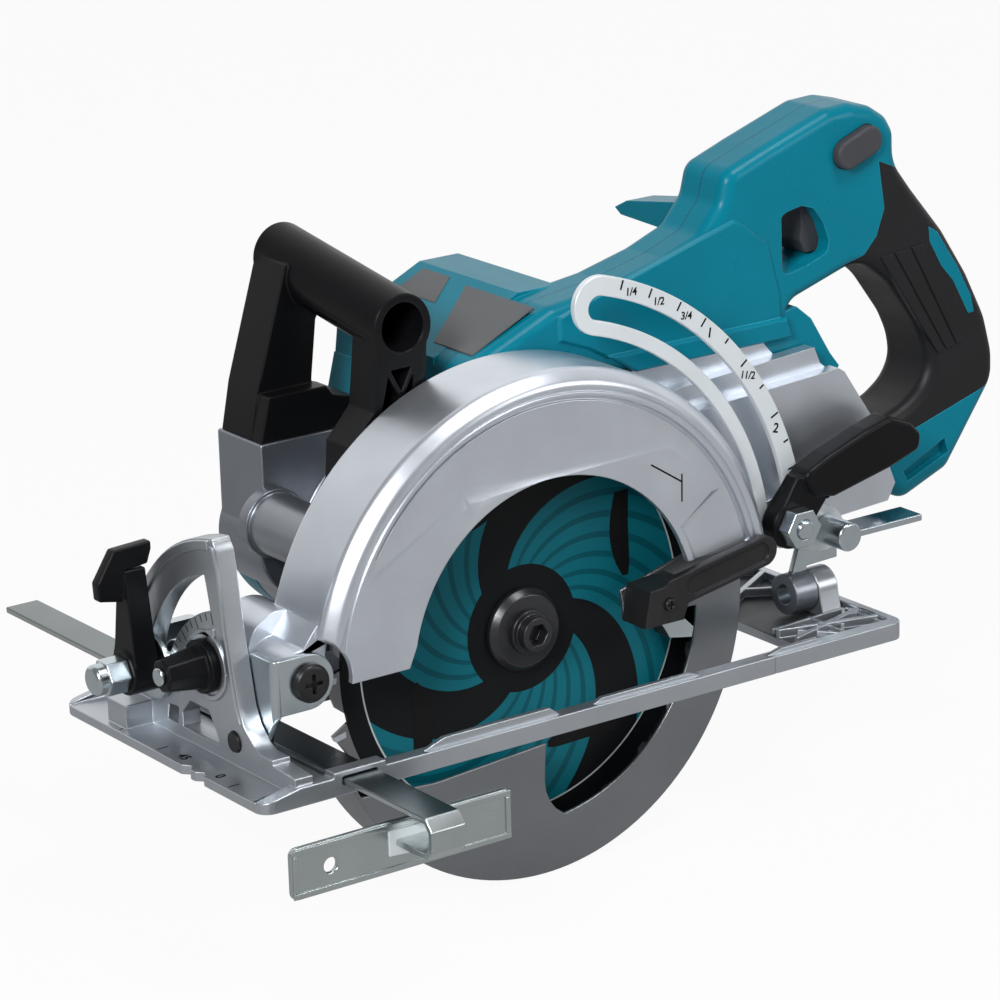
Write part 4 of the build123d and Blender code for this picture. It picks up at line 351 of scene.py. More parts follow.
    @classmethod
    def raise_face(cls, piece: Piece, facing: Vector, inset: float, height: float) -> None:
        """Raise the faces of a piece that look one way, with sloping sides.

        Args:
            piece: The piece.
            facing: The way that the faces look.
            inset: Width of the slope in millimetres.
            height: How far the faces rise.
        """
        with cls.editing(piece):
            bpy.ops.mesh.select_all(action="DESELECT")
        for face in piece.data.polygons:
            face.select = face.normal.dot(facing) > 0.99
        bpy.ops.object.mode_set(mode="EDIT")
        bpy.ops.mesh.select_mode(type="FACE")
        bpy.ops.mesh.inset(thickness=inset * MM, depth=height * MM)
        bpy.ops.object.mode_set(mode="OBJECT")

    @classmethod
    def smooth(cls, piece: Piece) -> None:
        """Shade a piece smooth up to its sharp edges, with its flat faces kept flat."""
        cls.take(piece)
        bpy.ops.object.shade_smooth_by_angle(angle=math.radians(36))
        flat = piece.modifiers.new("flats", "WEIGHTED_NORMAL")
        flat.keep_sharp = True
        bpy.ops.object.modifier_apply(modifier=flat.name)

    @classmethod
    def cut(cls, piece: Piece, cutters: Iterable[Piece]) -> None:
        """Take cutters out of a piece, and remove them."""
        for cutter in cutters:
            carve = piece.modifiers.new("carve", "BOOLEAN")
            carve.operation = "DIFFERENCE"
            carve.object = cutter
            carve.solver = "EXACT"
            cls.take(piece)
            bpy.ops.object.modifier_apply(modifier=carve.name)
            bpy.data.objects.remove(cutter)

    @classmethod
    def lettering(cls, name: str, words: str, height: float, place: Matrix) -> Piece:
        """Raised figures, made a mesh and set in place.

        Args:
            name: The piece's name.
            words: The figures to show.
            height: Figure height in millimetres.
            place: Where the figures go: their X runs along the words and their Z stands proud.

        Returns:
            The new piece.
        """
        bpy.ops.object.select_all(action="DESELECT")
        bpy.ops.object.text_add(location=(0, 0, 0))
        piece = bpy.context.active_object
        piece.name = name
        piece.data.body = words
        piece.data.align_x = "CENTER"
        piece.data.align_y = "CENTER"
        piece.data.size = height * 1.4 * MM
        piece.data.extrude = 0.06 * MM
        piece.data.offset = 0.03 * height * MM
        piece.data.resolution_u = 3
        bpy.ops.object.convert(target="MESH")
        piece.data.transform(place)
        return piece


class Side(Enum):
    """How figures are set on the saw: the way their face looks."""

    BLADE = ((1, 0, 0), (0, 0, 1))
    FORWARD = ((0, -1, 0), (0, 0, 1))
    UP = ((0, -1, 0), (1, 0, 0))

    def place(self, at: Vector, turn: float = 0.0) -> Matrix:
        """The placing of figures at a point, turned in their own plane by degrees."""
        along, up = (Vector(v) for v in self.value)
        axes = Matrix((along, up, along.cross(up))).transposed().to_4x4()
        return Matrix.Translation(at) @ axes @ Matrix.Rotation(math.radians(turn), 4, "Z")


class Nodes:
    """Short ways to add and link the shader nodes of one tree."""

    def __init__(self, tree: bpy.types.NodeTree) -> None:
        """Take the tree to work on."""
        self.tree = tree

    def feed(self, socket: Socket, value: object) -> None:
        """Give an input socket a value, or link an output socket to it."""
        if isinstance(value, Socket):
            self.tree.links.new(value, socket)
        elif socket.type == "RGBA":
            socket.default_value = (*value, 1.0)
        else:
            socket.default_value = value

    def add(self, kind: str, inputs: dict[str | int, object] | None = None, **settings: object) -> Node:
        """Add a node.

        Args:
            kind: The node's type, without its first word.
            inputs: Values or output sockets for its inputs, by name or number.
            settings: Its own properties, such as the operation.

        Returns:
            The new node.
        """
        node = self.tree.nodes.new(f"ShaderNode{kind}")
        for key, value in settings.items():
            setattr(node, key, value)
        for key, value in (inputs or {}).items():
            self.feed(node.inputs[key], value)
        return node

    def math(self, operation: str, *values: object) -> Socket:
        """The result of one operation on numbers or output sockets."""
        return self.add("Math", dict(enumerate(values)), operation=operation).outputs["Value"]

    def dot(self, *values: object) -> Socket:
        """The dot product of two vectors."""
        return self.add("VectorMath", dict(enumerate(values)), operation="DOT_PRODUCT").outputs["Value"]

    def remap(self, value: Socket, old: Pair, new: Pair) -> Socket:
        """A value carried from one range to another."""
        ends = {"From Min": old[0], "From Max": old[1], "To Min": new[0], "To Max": new[1]}
        return self.add("MapRange", {"Value": value, **ends}).outputs["Result"]

    def mix(self, factor: object, low: object, high: object, kind: str = "RGBA") -> Socket:
        """A mix of two colours, or of two numbers."""
        return self.add("Mix", {"Factor": factor, "A": low, "B": high}, data_type=kind).outputs["Result"]

    def noise(self, place: Socket, scale: float, detail: float) -> Socket:
        """A noise texture on the piece's own coordinates."""
        return self.add("TexNoise", {"Vector": place, "Scale": scale, "Detail": detail}).outputs["Fac"]

    def soft_normal(self, radius: float) -> Socket:
        """The normal of a surface whose edges are rounded by a radius in millimetres."""
        return self.add("Bevel", {"Radius": radius * MM}, samples=4).outputs["Normal"]


def shaded(colour: Colour, share: float, lift: float = 0.0) -> Colour:
    """A colour times a share, with a little added."""
    return tuple(min(1.0, part * share + lift) for part in colour)


@dataclass(frozen=True)
class Finish:
    """A surface finish with wandering colour and roughness and a fine grain.

    Attributes:
        name: Name of the material.
        colour: Linear base colour.
        roughness: Mean roughness.
        metallic: 0 for plastics and paint, 1 for bare metal.
        mottle: Share by which the colour wanders.
        mottle_scale: Patches per metre of that wandering.
        swing: How far the roughness wanders to each side.
        grain: Strength of the fine bump.
        grain_scale: Bumps per metre.
        wear_and_highlight: How much paler the edges are: partly edge wear, partly a painted highlight along
            creases.
        specular: Specular level of the surface.
        soft: Radius in millimetres that sharp edges shade with.
        bump: Depth of the fine bump in millimetres.
    """

    name: str
    colour: Colour
    roughness: float
    metallic: float = 0.0
    mottle: float = 0.05
    mottle_scale: float = 40.0
    swing: float = 0.05
    grain: float = 0.05
    grain_scale: float = 1500.0
    wear_and_highlight: float = 0.0
    specular: float = 0.5
    soft: float = 0.35
    bump: float = 0.25

    def material(self) -> bpy.types.Material:
        """The material of this finish, made once."""
        found = bpy.data.materials.get(self.name)
        if found:
            return found
        made = bpy.data.materials.new(self.name)
        made.use_nodes = True
        made.diffuse_color = (*self.colour, 1.0)
        nodes = Nodes(made.node_tree)
        shader = made.node_tree.nodes["Principled BSDF"]
        place = nodes.add("TexCoord").outputs["Object"]
        patches = nodes.noise(place, self.mottle_scale * 2.3, 3.0)
        rough = nodes.remap(patches, (0.0, 1.0), (self.roughness - self.swing, self.roughness + self.swing))
        fine = nodes.noise(place, self.grain_scale, 2.0)
        bump = nodes.add("Bump", {"Strength": self.grain, "Distance": self.bump * MM, "Height": fine,
                                  "Normal": nodes.soft_normal(self.soft)})
        for key, value in (("Metallic", self.metallic), ("Specular IOR Level", self.specular),
                           ("Roughness", rough), ("Normal", bump.outputs["Normal"])):
            nodes.feed(shader.inputs[key], value)
        self.paint(nodes, place, shader)
        return made

    def paint(self, nodes: Nodes, place: Socket, shader: Node) -> None:
        """Link the wandering base colour, with its edges painted paler: partly edge wear, partly a painted
        highlight.

        Args:
            nodes: The material's nodes.
            place: The piece's own coordinates.
            shader: The node that takes the colour.
        """
        ramp = nodes.add("ValToRGB", {"Fac": nodes.noise(place, self.mottle_scale, 4.0)})
        shares = (1 - self.mottle, 1 + self.mottle)
        for stop, position, share in zip(ramp.color_ramp.elements, (0.3, 0.7), shares):
            stop.position = position
            stop.color = (*shaded(self.colour, share), 1)
        colour = ramp.outputs["Color"]
        # Edges painted paler: partly edge wear, partly a painted highlight where creases catch the light.
        if self.wear_and_highlight:
            flat = nodes.add("NewGeometry").outputs["Normal"]
            leaning = nodes.dot(flat, nodes.soft_normal(1.5 * self.soft))
            edge = nodes.remap(leaning, (0.99, 0.80), (0.0, self.wear_and_highlight))
            colour = nodes.mix(edge, colour, shaded(self.colour, 1.6, 0.03))
        nodes.feed(shader.inputs["Base Color"], colour)


@dataclass(frozen=True)
class MouldedShell(Finish):
    """Plastic moulded in two halves, with a fine parting line where they meet.

    Attributes:
        parting: Y of the parting line in millimetres.
        line: Half the line's width.
    """

    parting: float = 30.0
    line: float = 0.22

    def paint(self, nodes: Nodes, place: Socket, shader: Node) -> None:
        """Link the wandering colour, darkened along the parting line."""
        super().paint(nodes, place, shader)
        colour = shader.inputs["Base Color"].links[0].from_socket
        side = nodes.add("SeparateXYZ", {"Vector": place}).outputs["Y"]
        line = nodes.math("COMPARE", side, self.parting * MM, self.line * MM)
        nodes.feed(shader.inputs["Base Color"], nodes.mix(line, colour, shaded(self.colour, 0.3)))


@dataclass(frozen=True)
class PrintedBlade(Finish):
    """The blade's finish: a bare steel rim round a printed disc of sweeping bands.

    Attributes:
        ink: Linear colour of the dark print.
        pale: Linear colour of the thin ring.
        steel: Linear colour of the bare rim.
        print_r: Outer radius of the print in millimetres.
        ring_r: Radius of the thin ring, where the dark border starts.
        hub_r: Radius of the dark hub.
        sweeps: Number of dark bands round the disc.
        lean: How far the bands sweep back, in radians per metre.
    """

    ink: Colour = (0.006, 0.007, 0.008)
    pale: Colour = (0.45, 0.5, 0.5)
    steel: Colour = (0.26, 0.26, 0.27)
    print_r: float = 85.5
    ring_r: float = 76.0
    hub_r: float = 26.0
    sweeps: float = 3.0
    lean: float = 62.0

    def paint(self, nodes: Nodes, place: Socket, shader: Node) -> None:
        """Link the printed colour and the metal of the rim."""
        split = nodes.add("SeparateXYZ", {"Vector": place}).outputs
        across = nodes.math("SUBTRACT", split["X"], ARBOR[0] * MM)
        upward = nodes.math("SUBTRACT", split["Z"], ARBOR[1] * MM)
        squares = [nodes.math("MULTIPLY", run, run) for run in (across, upward)]
        reach = nodes.math("SQRT", nodes.math("ADD", *squares))
        turn = nodes.math("MULTIPLY", nodes.math("ARCTAN2", upward, across), self.sweeps)
        swirl = nodes.math("ADD", turn, nodes.math("MULTIPLY", reach, self.lean))
        dark = nodes.math("GREATER_THAN", nodes.math("SINE", swirl), 0.66)
        fine = nodes.math("SINE", nodes.math("MULTIPLY", swirl, 9.0))
        sheet = nodes.mix(nodes.math("GREATER_THAN", fine, 0.55), self.colour, shaded(self.colour, 0.62))
        bare = nodes.math("GREATER_THAN", reach, self.print_r * MM)
        for where, colour in ((dark, self.ink),
                              (nodes.math("LESS_THAN", reach, self.hub_r * MM), self.ink),
                              (nodes.math("GREATER_THAN", reach, self.ring_r * MM), self.ink),
                              (nodes.math("COMPARE", reach, self.ring_r * MM, 0.35 * MM), self.pale),
                              (bare, self.steel)):
            sheet = nodes.mix(where, sheet, colour)
        nodes.feed(shader.inputs["Base Color"], sheet)
        nodes.feed(shader.inputs["Metallic"], bare)


# The teal's pale edges are mostly a painted highlight along its creases.
TEAL = MouldedShell("teal_moulding", (0.0001, 0.178, 0.256), 0.29, mottle=0.04, grain=0.04, grain_scale=1800,
                    wear_and_highlight=1.0, specular=0.15, soft=0.55)
BLACK = Finish("black_moulding", (0.004, 0.0042, 0.005), 0.34, mottle=0.12, grain=0.10, grain_scale=2200,
               wear_and_highlight=0.3, specular=0.16, soft=0.8)
GREY = Finish("grey_moulding", (0.055, 0.056, 0.064), 0.45, mottle=0.08, grain=0.08, grain_scale=2200,
              specular=0.2)
RUBBER = Finish("soft_grip", (0.008, 0.0082, 0.0096), 0.46, mottle=0.15, grain=0.22, specular=0.3)
CAST = Finish("blasted_casting", (0.66, 0.70, 0.76), 0.34, metallic=0.9, grain=0.10, grain_scale=1700, wear_and_highlight=0.35)
DRUM = replace(CAST, name="drum_casting", colour=(0.27, 0.29, 0.325), roughness=0.36, mottle=0.06)
TUBE = replace(CAST, name="tube_casting", colour=(0.31, 0.33, 0.36), roughness=0.33)
SHOE = replace(CAST, name="base_casting", colour=(0.47, 0.50, 0.535), roughness=0.33, grain=0.08, wear_and_highlight=0.4)
GUARD = replace(CAST, name="guard_casting", colour=(0.25, 0.263, 0.28), grain=0.07, grain_scale=1900)
# Painted shade: a darker copy of the casting for the recessed rear of the sole.
SOLE_SHADE = Finish("sole_painted_shade", (0.085, 0.088, 0.094), 0.45, metallic=0.8, mottle=0.15, grain=0.2, grain_scale=1400)
FENCE = Finish("fence_steel", (0.50, 0.545, 0.55), 0.26, metallic=1.0, mottle_scale=45, swing=0.03, grain=0.04,
               wear_and_highlight=0.4)
# Painted shade: a darker copy of the fence steel for the fence's bar.
FENCE_BAR_SHADE = replace(FENCE, name="fence_bar_painted_shade", colour=(0.19, 0.212, 0.216))
ZINC = Finish("zinc_plating", (0.54, 0.60, 0.63), 0.24, metallic=1.0, mottle_scale=55, swing=0.04, grain=0.04,
              wear_and_highlight=0.2)
FLANGE = Finish("flange_steel", (0.06, 0.061, 0.065), 0.3, metallic=0.8, mottle=0.1, wear_and_highlight=0.4)
DARK_STEEL = Finish("blacked_steel", (0.036, 0.036, 0.038), 0.32, metallic=0.6, mottle=0.15, grain=0.06, wear_and_highlight=0.3,
                    specular=0.2)
PLATE = Finish("blank_plate", (0.105, 0.112, 0.118), 0.4, grain=0.03, specular=0.2)
SCALE = Finish("scale_enamel", (0.74, 0.79, 0.82), 0.32, mottle=0.03, grain=0.03, metallic=0.3)
INK = Finish("scale_ink", (0.008, 0.008, 0.009), 0.55, mottle=0.1, specular=0.1)
IRON = Finish("core_iron", (0.16, 0.16, 0.17), 0.5, metallic=0.6, mottle=0.15)
BRASS = Finish("bare_brass", (0.72, 0.52, 0.22), 0.3, metallic=1.0, mottle=0.08)
PRINT = PrintedBlade("printed_blade", (0.004, 0.125, 0.165), 0.36, mottle=0.04, grain=0.03, specular=0.12)


@dataclass
class SubAssembly:
    """A group of pieces that ride on the CAD bodies of the frame.

    Attributes:
    """

    frame: dict

    def body_of(self, node: str) -> str:
        """The CAD body that a node belongs to."""
        groups = self.frame["record"]["behaviour"]["bodies"]
        return next(body for body, nodes in groups.items() if node in nodes)

    def keep(self, finish: Finish, *nodes: str) -> None:
        """Give CAD nodes that keep their shape a finish."""
        for node in nodes:
            target = self.frame["nodes"][node]
            if not target.material_slots:
                target.data.materials.append(finish.material())
            for slot in target.material_slots:
                slot.material = finish.material()
            LOG.info("%s keeps its CAD shape, in %s", node, finish.name)

    def add(self, piece: Piece, body: str, finish: Finish, slot: str) -> Piece:
        """Dress a finished piece and let it ride on a body.

        Args:
            piece: The finished piece.
            body: The CAD body that it moves with.
            finish: Its finish.
            slot: The record's material slot; not used.

        Returns:
            The same piece.
        """
        piece.data.materials.clear()
        piece.data.materials.append(finish.material())
        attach(piece, body)
        LOG.info("%s rides on %s", piece.name, body)
        return piece

    def stand_in(self, piece: Piece, node: str, finish: Finish, slot: str) -> Piece:
        """Let a finished piece stand for the CAD node that it was shaped from."""
        self.add(piece, self.body_of(node), finish, slot)
        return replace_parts(piece, node)

    def refinish(self, piece: Piece, finish: Finish, where: Place) -> None:
        """Give the faces of a piece that lie in a place another finish."""
        piece.data.materials.append(finish.material())
        for face in piece.data.polygons:
            if where(face.center / MM):
                face.material_index = len(piece.data.materials) - 1

    def crossed(self, node: str, centre: Pair, head: float, span: float) -> None:
        """Replace a CAD screw along Y by a copy with a cross recess in its head.

        Args:
            node: The CAD node's name.
            centre: Middle of the head.
            head: Y of the head's outer face in millimetres.
            span: Width of the cross.
        """
        piece = Bench.copy_of(node)
        x, z = centre
        for run_x, run_z in ((span / 2, 0.0), (0.0, span / 2)):
            line = ((x - run_x, z - run_z), (x + run_x, z + run_z))
            Bench.cut(piece, [Bench.strokes("cross", [line], span / 4, Facing.SIDE, head - 0.5, 1.7)])
        Bench.smooth(piece)
        self.stand_in(piece, node, DARK_STEEL, "dark_steel")

    def rounded(self, node: str, width: float, finish: Finish, slot: str, segments: int = 2,
                angle: float = 32.0, where: Place = everywhere) -> Piece:
        """Replace a CAD node by a copy of it with rounded edges."""
        piece = Bench.copy_of(node)
        Bench.round_edges(piece, width, segments, angle, where)
        return self.stand_in(piece, node, finish, slot)


@dataclass
class Guards(SubAssembly):
    """Upper guard, lower guard and the lever that draws the lower one back.

    Attributes:
        face: Y of the upper guard's outer face in millimetres.
        rim_r: Radius inside which the face is let in.
        pad_r: Radii of the pad's rear end, at its edge and its foot.
        let_in: Depth of the cutter that lets the face in.
        groove: How far the rim's groove lies inside rim_r, at its two edges, and its cutter's depth.
        chamfer: Y, radius and height past which an edge belongs to the chamfered rim.
        pad_edge: Edge of the raised pad round the opening, from front to rear.
        pad_foot: Foot of the pad's sloping edge, corner for corner.
        arrow: Strokes of the turning arrow on the pad.
        tab: X, Y and Z that bound the bare metal tab of the retracting lever.
    """

    face: float = -25.2
    rim_r: float = 98.2
    pad_r: Pair = (69.6, 71.2)
    let_in: float = 1.5
    groove: Triple = (1.9, 0.4, 2.6)
    chamfer: Triple = (-19.0, 103.2, 45.0)
    pad_edge: Outline = ((25.0, 69.8), (70.8, 90.4), (71.8, 92.2), (166.5, 95.8), (187.0, 73.6),
                                  (172.6, 62.4))
    pad_foot: Outline = ((27.6, 73.0), (67.4, 93.6), (68.2, 98.6), (168.6, 100.8), (192.0, 73.6),
                                  (174.6, 65.0))
    arrow: tuple[tuple[Pair, Pair], ...] = (((157.5, 90.4), (172.4, 80.6)), ((172.5, 83.8), (172.3, 72.4)))
    tab: Triple = (157.0, -18.0, 25.8)

    def build(self) -> None:
        """Make and dress the guards."""
        self.upper()
        self.rounded("lower_guard", 0.5, GUARD, "guard_aluminium")
        lever = Bench.copy_of("retracting_lever")
        front, side, top = self.tab
        Bench.bisect(lever, (0.0, 0.0, top), (0.0, 0.0, 1.0))
        Bench.round_edges(lever, 0.4)
        self.stand_in(lever, "retracting_lever", DARK_STEEL, "dark_steel")
        self.refinish(lever, ZINC, lambda at: at.z < top + 0.3 and at.x > front and at.y < side)
        self.crossed("lever_screw", (162.0, 33.3), -31.0, 3.6)
        self.rounded("guard_bumper", 0.5, RUBBER, "black_rubber")
        self.keep(DARK_STEEL, "guard_screws")
        self.keep(ZINC, "guard_retaining_ring", "guard_return_spring")

    def upper(self) -> None:
        """Let the upper guard's face in round its pad, round its rim and add the turning arrow."""
        guard = Bench.copy_of("upper_guard")
        edge_r, foot_r = self.pad_r
        mouth = [*arc(ARBOR, self.rim_r, 9, 152.5, 48), *self.pad_edge, *arc(ARBOR, edge_r, 30, 9, 8)]
        floor = [*arc(ARBOR, self.rim_r - 0.8, 9.6, 151.5, 48), *self.pad_foot, *arc(ARBOR, foot_r, 30, 9.6, 8)]
        inner, outer, depth = self.groove
        groove = band(ARBOR, self.rim_r - inner, self.rim_r - outer, 13, 148, 60)
        Bench.cut(guard, [Bench.prism("groove_cutter", groove, Facing.SIDE, self.face - 0.3, depth),
                          Bench.loft("face_cutter", mouth, floor, Facing.SIDE, self.face - 0.1, self.let_in)])
        Bench.round_edges(guard, 1.6, 3, 32, self.on_rim)
        Bench.round_edges(guard, 0.3)
        self.stand_in(guard, "upper_guard", CAST, "cast_magnesium")
        marks = Bench.strokes("turning_arrow", self.arrow, 0.7, Facing.SIDE, self.face - 0.06, 0.3)
        self.add(marks, "saw", INK, "cast_magnesium")

    def on_rim(self, at: Vector) -> bool:
        """Whether a place lies on the edges of the upper guard's chamfered rim."""
        side, radius, height = self.chamfer
        return at.y < side and math.hypot(at.x - ARBOR[0], at.z - ARBOR[1]) > radius and at.z > height


@dataclass
class Blade(SubAssembly):
    """Blade, flanges, bolt and what drives them.

    Attributes:
        teeth: Number of teeth.
        tip_r: Radius over the tips in millimetres.
        tip: Each tip's corners: how far inside tip_r, and the angle from the tooth's front.
        tip_width: Width of the tips across the blade.
        slots: Number of filled relief slots.
        slot_r: Radius of the slots' middles.
        slot_turn: Angle of the first slot.
        slot_lean: Angle between a slot and its radius.
        slot_length: Length of a slot.
        resin_width: Width of the resin across the blade.
    """

    teeth: int = 24
    tip_r: float = 92.4
    tip: Outline = ((0.0, 0.1), (5.5, 0.3), (5.0, 1.8), (0.3, 1.6))
    tip_width: float = 2.5
    slots: int = 4
    slot_r: float = 57.35
    slot_turn: float = 30.0
    slot_lean: float = 62.0
    slot_length: float = 35.4
    resin_width: float = 1.9

    def build(self) -> None:
        """Dress the blade group and the motor."""
        self.keep(PRINT, "blade")
        self.keep(DARK_STEEL, "inner_flange", "spindle", "drive_gear", "pinion", "rotor", "rotor_shaft",
                  "spindle_bearings", "motor_bearings")
        for node in ("outer_flange", "blade_bolt"):
            self.rounded(node, 0.4, FLANGE, "dark_steel")
        self.keep(IRON, "stator")
        self.keep(BLACK, "cooling_fan")
        self.tips()
        self.resin()

    def tips(self) -> None:
        """Braze a carbide tip on every tooth."""
        tips = []
        for tooth in range(self.teeth):
            front = tooth * 360 / self.teeth
            outline = [polar(ARBOR, self.tip_r - inside, front + angle) for inside, angle in self.tip]
            tips.append(Bench.prism("tip", outline, Facing.SIDE, -self.tip_width / 2, self.tip_width))
        self.add(Bench.join("carbide_tips", tips), self.body_of("blade"), CAST, "blade_steel")

    def resin(self) -> None:
        """Fill the relief slots with dark resin, level with the blade's faces."""
        fills = []
        for slot in range(self.slots):
            lean = self.slot_turn + slot * 360 / self.slots
            middle = polar(ARBOR, self.slot_r, lean)
            ahead = Vector(polar((0.0, 0.0), 1.0, lean + self.slot_lean))
            aside = Vector((-ahead.y, ahead.x))
            edges: tuple[list[Pair], list[Pair]] = ([], [])
            for share in (step / 12 for step in range(13)):
                half = 1.2 + 3.4 * math.sin(math.pi * min(1.0, 0.22 + 0.62 * share)) - 1.6 * share ** 8
                bow = 2.2 * math.sin(math.pi * share) - 0.8
                spine = Vector(middle) + ahead * (17.6 - self.slot_length * share)
                for edge, off in zip(edges, (bow + half, bow - half)):
                    edge.append(tuple(spine + aside * off))
            outline = edges[0] + edges[1][::-1]
            fills.append(Bench.prism("fill", outline, Facing.SIDE, -self.resin_width / 2, self.resin_width))
        self.add(Bench.join("slot_resin", fills), self.body_of("blade"), INK, "blade_steel")


@dataclass
class Castings(SubAssembly):
    """Gear housing, motor case and front tube.

    Attributes:
        tube: Centre of the front tube's axis.
        tube_r: Radius past which the tube is its collar.
        tube_end: Y past which the tube is its collar.
    """

    tube: Pair = (36.0, 72.0)
    tube_r: float = 12.9
    tube_end: float = 56.0

    def build(self) -> None:
        """Make and dress the castings."""
        self.keep(CAST, "gear_housing")
        self.rounded("motor_case", 1.0, DRUM, "cast_magnesium")
        tube = self.rounded("front_tube", 0.5, TUBE, "cast_magnesium")
        self.refinish(tube, DRUM, lambda at: at.y > self.tube_end or
                      math.hypot(at.x - self.tube[0], at.z - self.tube[1]) > self.tube_r)
        self.rounded("motor_end_cover", 0.8, TEAL, "teal_plastic")


@dataclass
class Handles(SubAssembly):
    """Rear handle with its switch gear, and the front handle.

    Attributes:
        side: Y of the handle's blade-side face in millimetres.
        panel: Outline of the raised panel on the blade-side half.
        ledge: Outline of the ledge under that panel.
        grip_top: Ends of the grip pad's upper edge.
        grip_foot: Ends of the grip pad's lower edge.
        inlay: Outline of the coloured inlay at the back of the grip.
        roof: X and Z of the roof's slope at its foot and its head.
        roof_plates: Outlines, seen from above, of the blank plates on that slope.
    """

    side: float = 14.4
    panel: Outline = ((143.0, 144.6), (174.4, 153.6), (212.0, 164.2), (230.6, 169.2), (233.6, 168.0),
                               (248.2, 157.4), (251.3, 146.0), (254.4, 135.0), (255.0, 123.0), (167.0, 123.0),
                               (157.0, 128.8), (143.0, 134.2))
    ledge: Outline = ((166.0, 124.6), (256.0, 124.6), (259.0, 116.0), (179.0, 116.0))
    grip_top: tuple[Pair, Pair] = ((307.5, 140.6), (331.0, 142.6))
    grip_foot: tuple[Pair, Pair] = ((339.0, 93.6), (353.5, 97.0))
    inlay: Outline = ((333.4, 150.0), (334.2, 142.6), (340.6, 131.1), (347.2, 123.6), (355.6, 107.8),
                               (359.4, 108.0), (357.6, 115.8), (350.0, 129.8), (338.8, 146.3))
    roof: tuple[Pair, Pair] = ((100.0, 131.0), (141.0, 150.0))
    roof_plates: tuple[Outline, ...] = (((136.5, 67.0), (136.5, 21.0), (106.5, 21.0), (106.5, 47.0)),
                                                 ((138.0, 99.0), (138.0, 80.0), (124.0, 71.0), (124.0, 99.0)))

    def build(self) -> None:
        """Make and dress the handles."""
        self.keep(TEAL, "housing_left_half", "housing_right_half")
        self.keep(RUBBER, "handle_grip")
        self.rounded("front_handle", 0.5, BLACK, "black_plastic")
        for node in ("trigger", "lock_off_button"):
            self.rounded(node, 0.8, GREY, "grey_plastic")
        self.keep(DARK_STEEL, "housing_screws", "front_handle_screws")
        self.keep(BLACK, "switch", "controller", "terminal_block")
        self.keep(BRASS, "terminals")
        self.side_panel()
        self.grip_pad()
        self.plates()

    def side_panel(self) -> None:
        """Raise the panel on the blade-side half, with sloping edges, over its ledge."""
        panel = Bench.prism("panel", self.panel, Facing.SIDE, self.side + 0.6, -0.7)
        Bench.raise_face(panel, Vector((0, -1, 0)), 1.3, 1.1)
        ledge = Bench.prism("ledge", self.ledge, Facing.SIDE, self.side + 0.6, -3.0)
        Bench.raise_face(ledge, Vector((0, -1, 0)), 0.9, 0.9)
        for piece in (panel, ledge):
            Bench.round_edges(piece, 0.18)
        self.add(Bench.join("side_panel", [panel, ledge]), "saw", TEAL, "teal_plastic")

    def grip_pad(self) -> None:
        """Lay the ribbed pad and the coloured inlay on the grip."""
        strips = []
        for low, high in ((0.0, 0.27), (0.32, 0.66), (0.71, 1.0)):
            corners = ((self.grip_top, low), (self.grip_top, high), (self.grip_foot, high), (self.grip_foot, low))
            strips.append([tuple(a + share * (b - a) for a, b in zip(*edge)) for edge, share in corners])
        pad = Bench.rounded_prisms("grip_pad", strips, Facing.SIDE, self.side + 2.5, -3.1, 0.5)
        self.add(pad, "saw", RUBBER, "black_rubber")
        inlay = Bench.rounded_prisms("grip_inlay", [self.inlay], Facing.SIDE, self.side + 3.0, -3.2, 0.8, 3)
        self.add(inlay, "saw", TEAL, "teal_plastic")

    def plates(self) -> None:
        """Lay the blank plates on the slope of the roof."""
        (foot_x, foot_z), (head_x, head_z) = self.roof
        slope = (head_z - foot_z) / (head_x - foot_x)
        for number, outline in enumerate(self.roof_plates, 1):
            plate = Bench.prism(f"roof_plate_{number}", outline, Facing.TOP, -0.5, 0.9)
            for vertex in plate.data.vertices:
                vertex.co.z += (foot_z + (vertex.co.x / MM - foot_x) * slope) * MM
            Bench.round_edges(plate, 0.25)
            self.add(plate, "saw", PLATE, "grey_plastic")


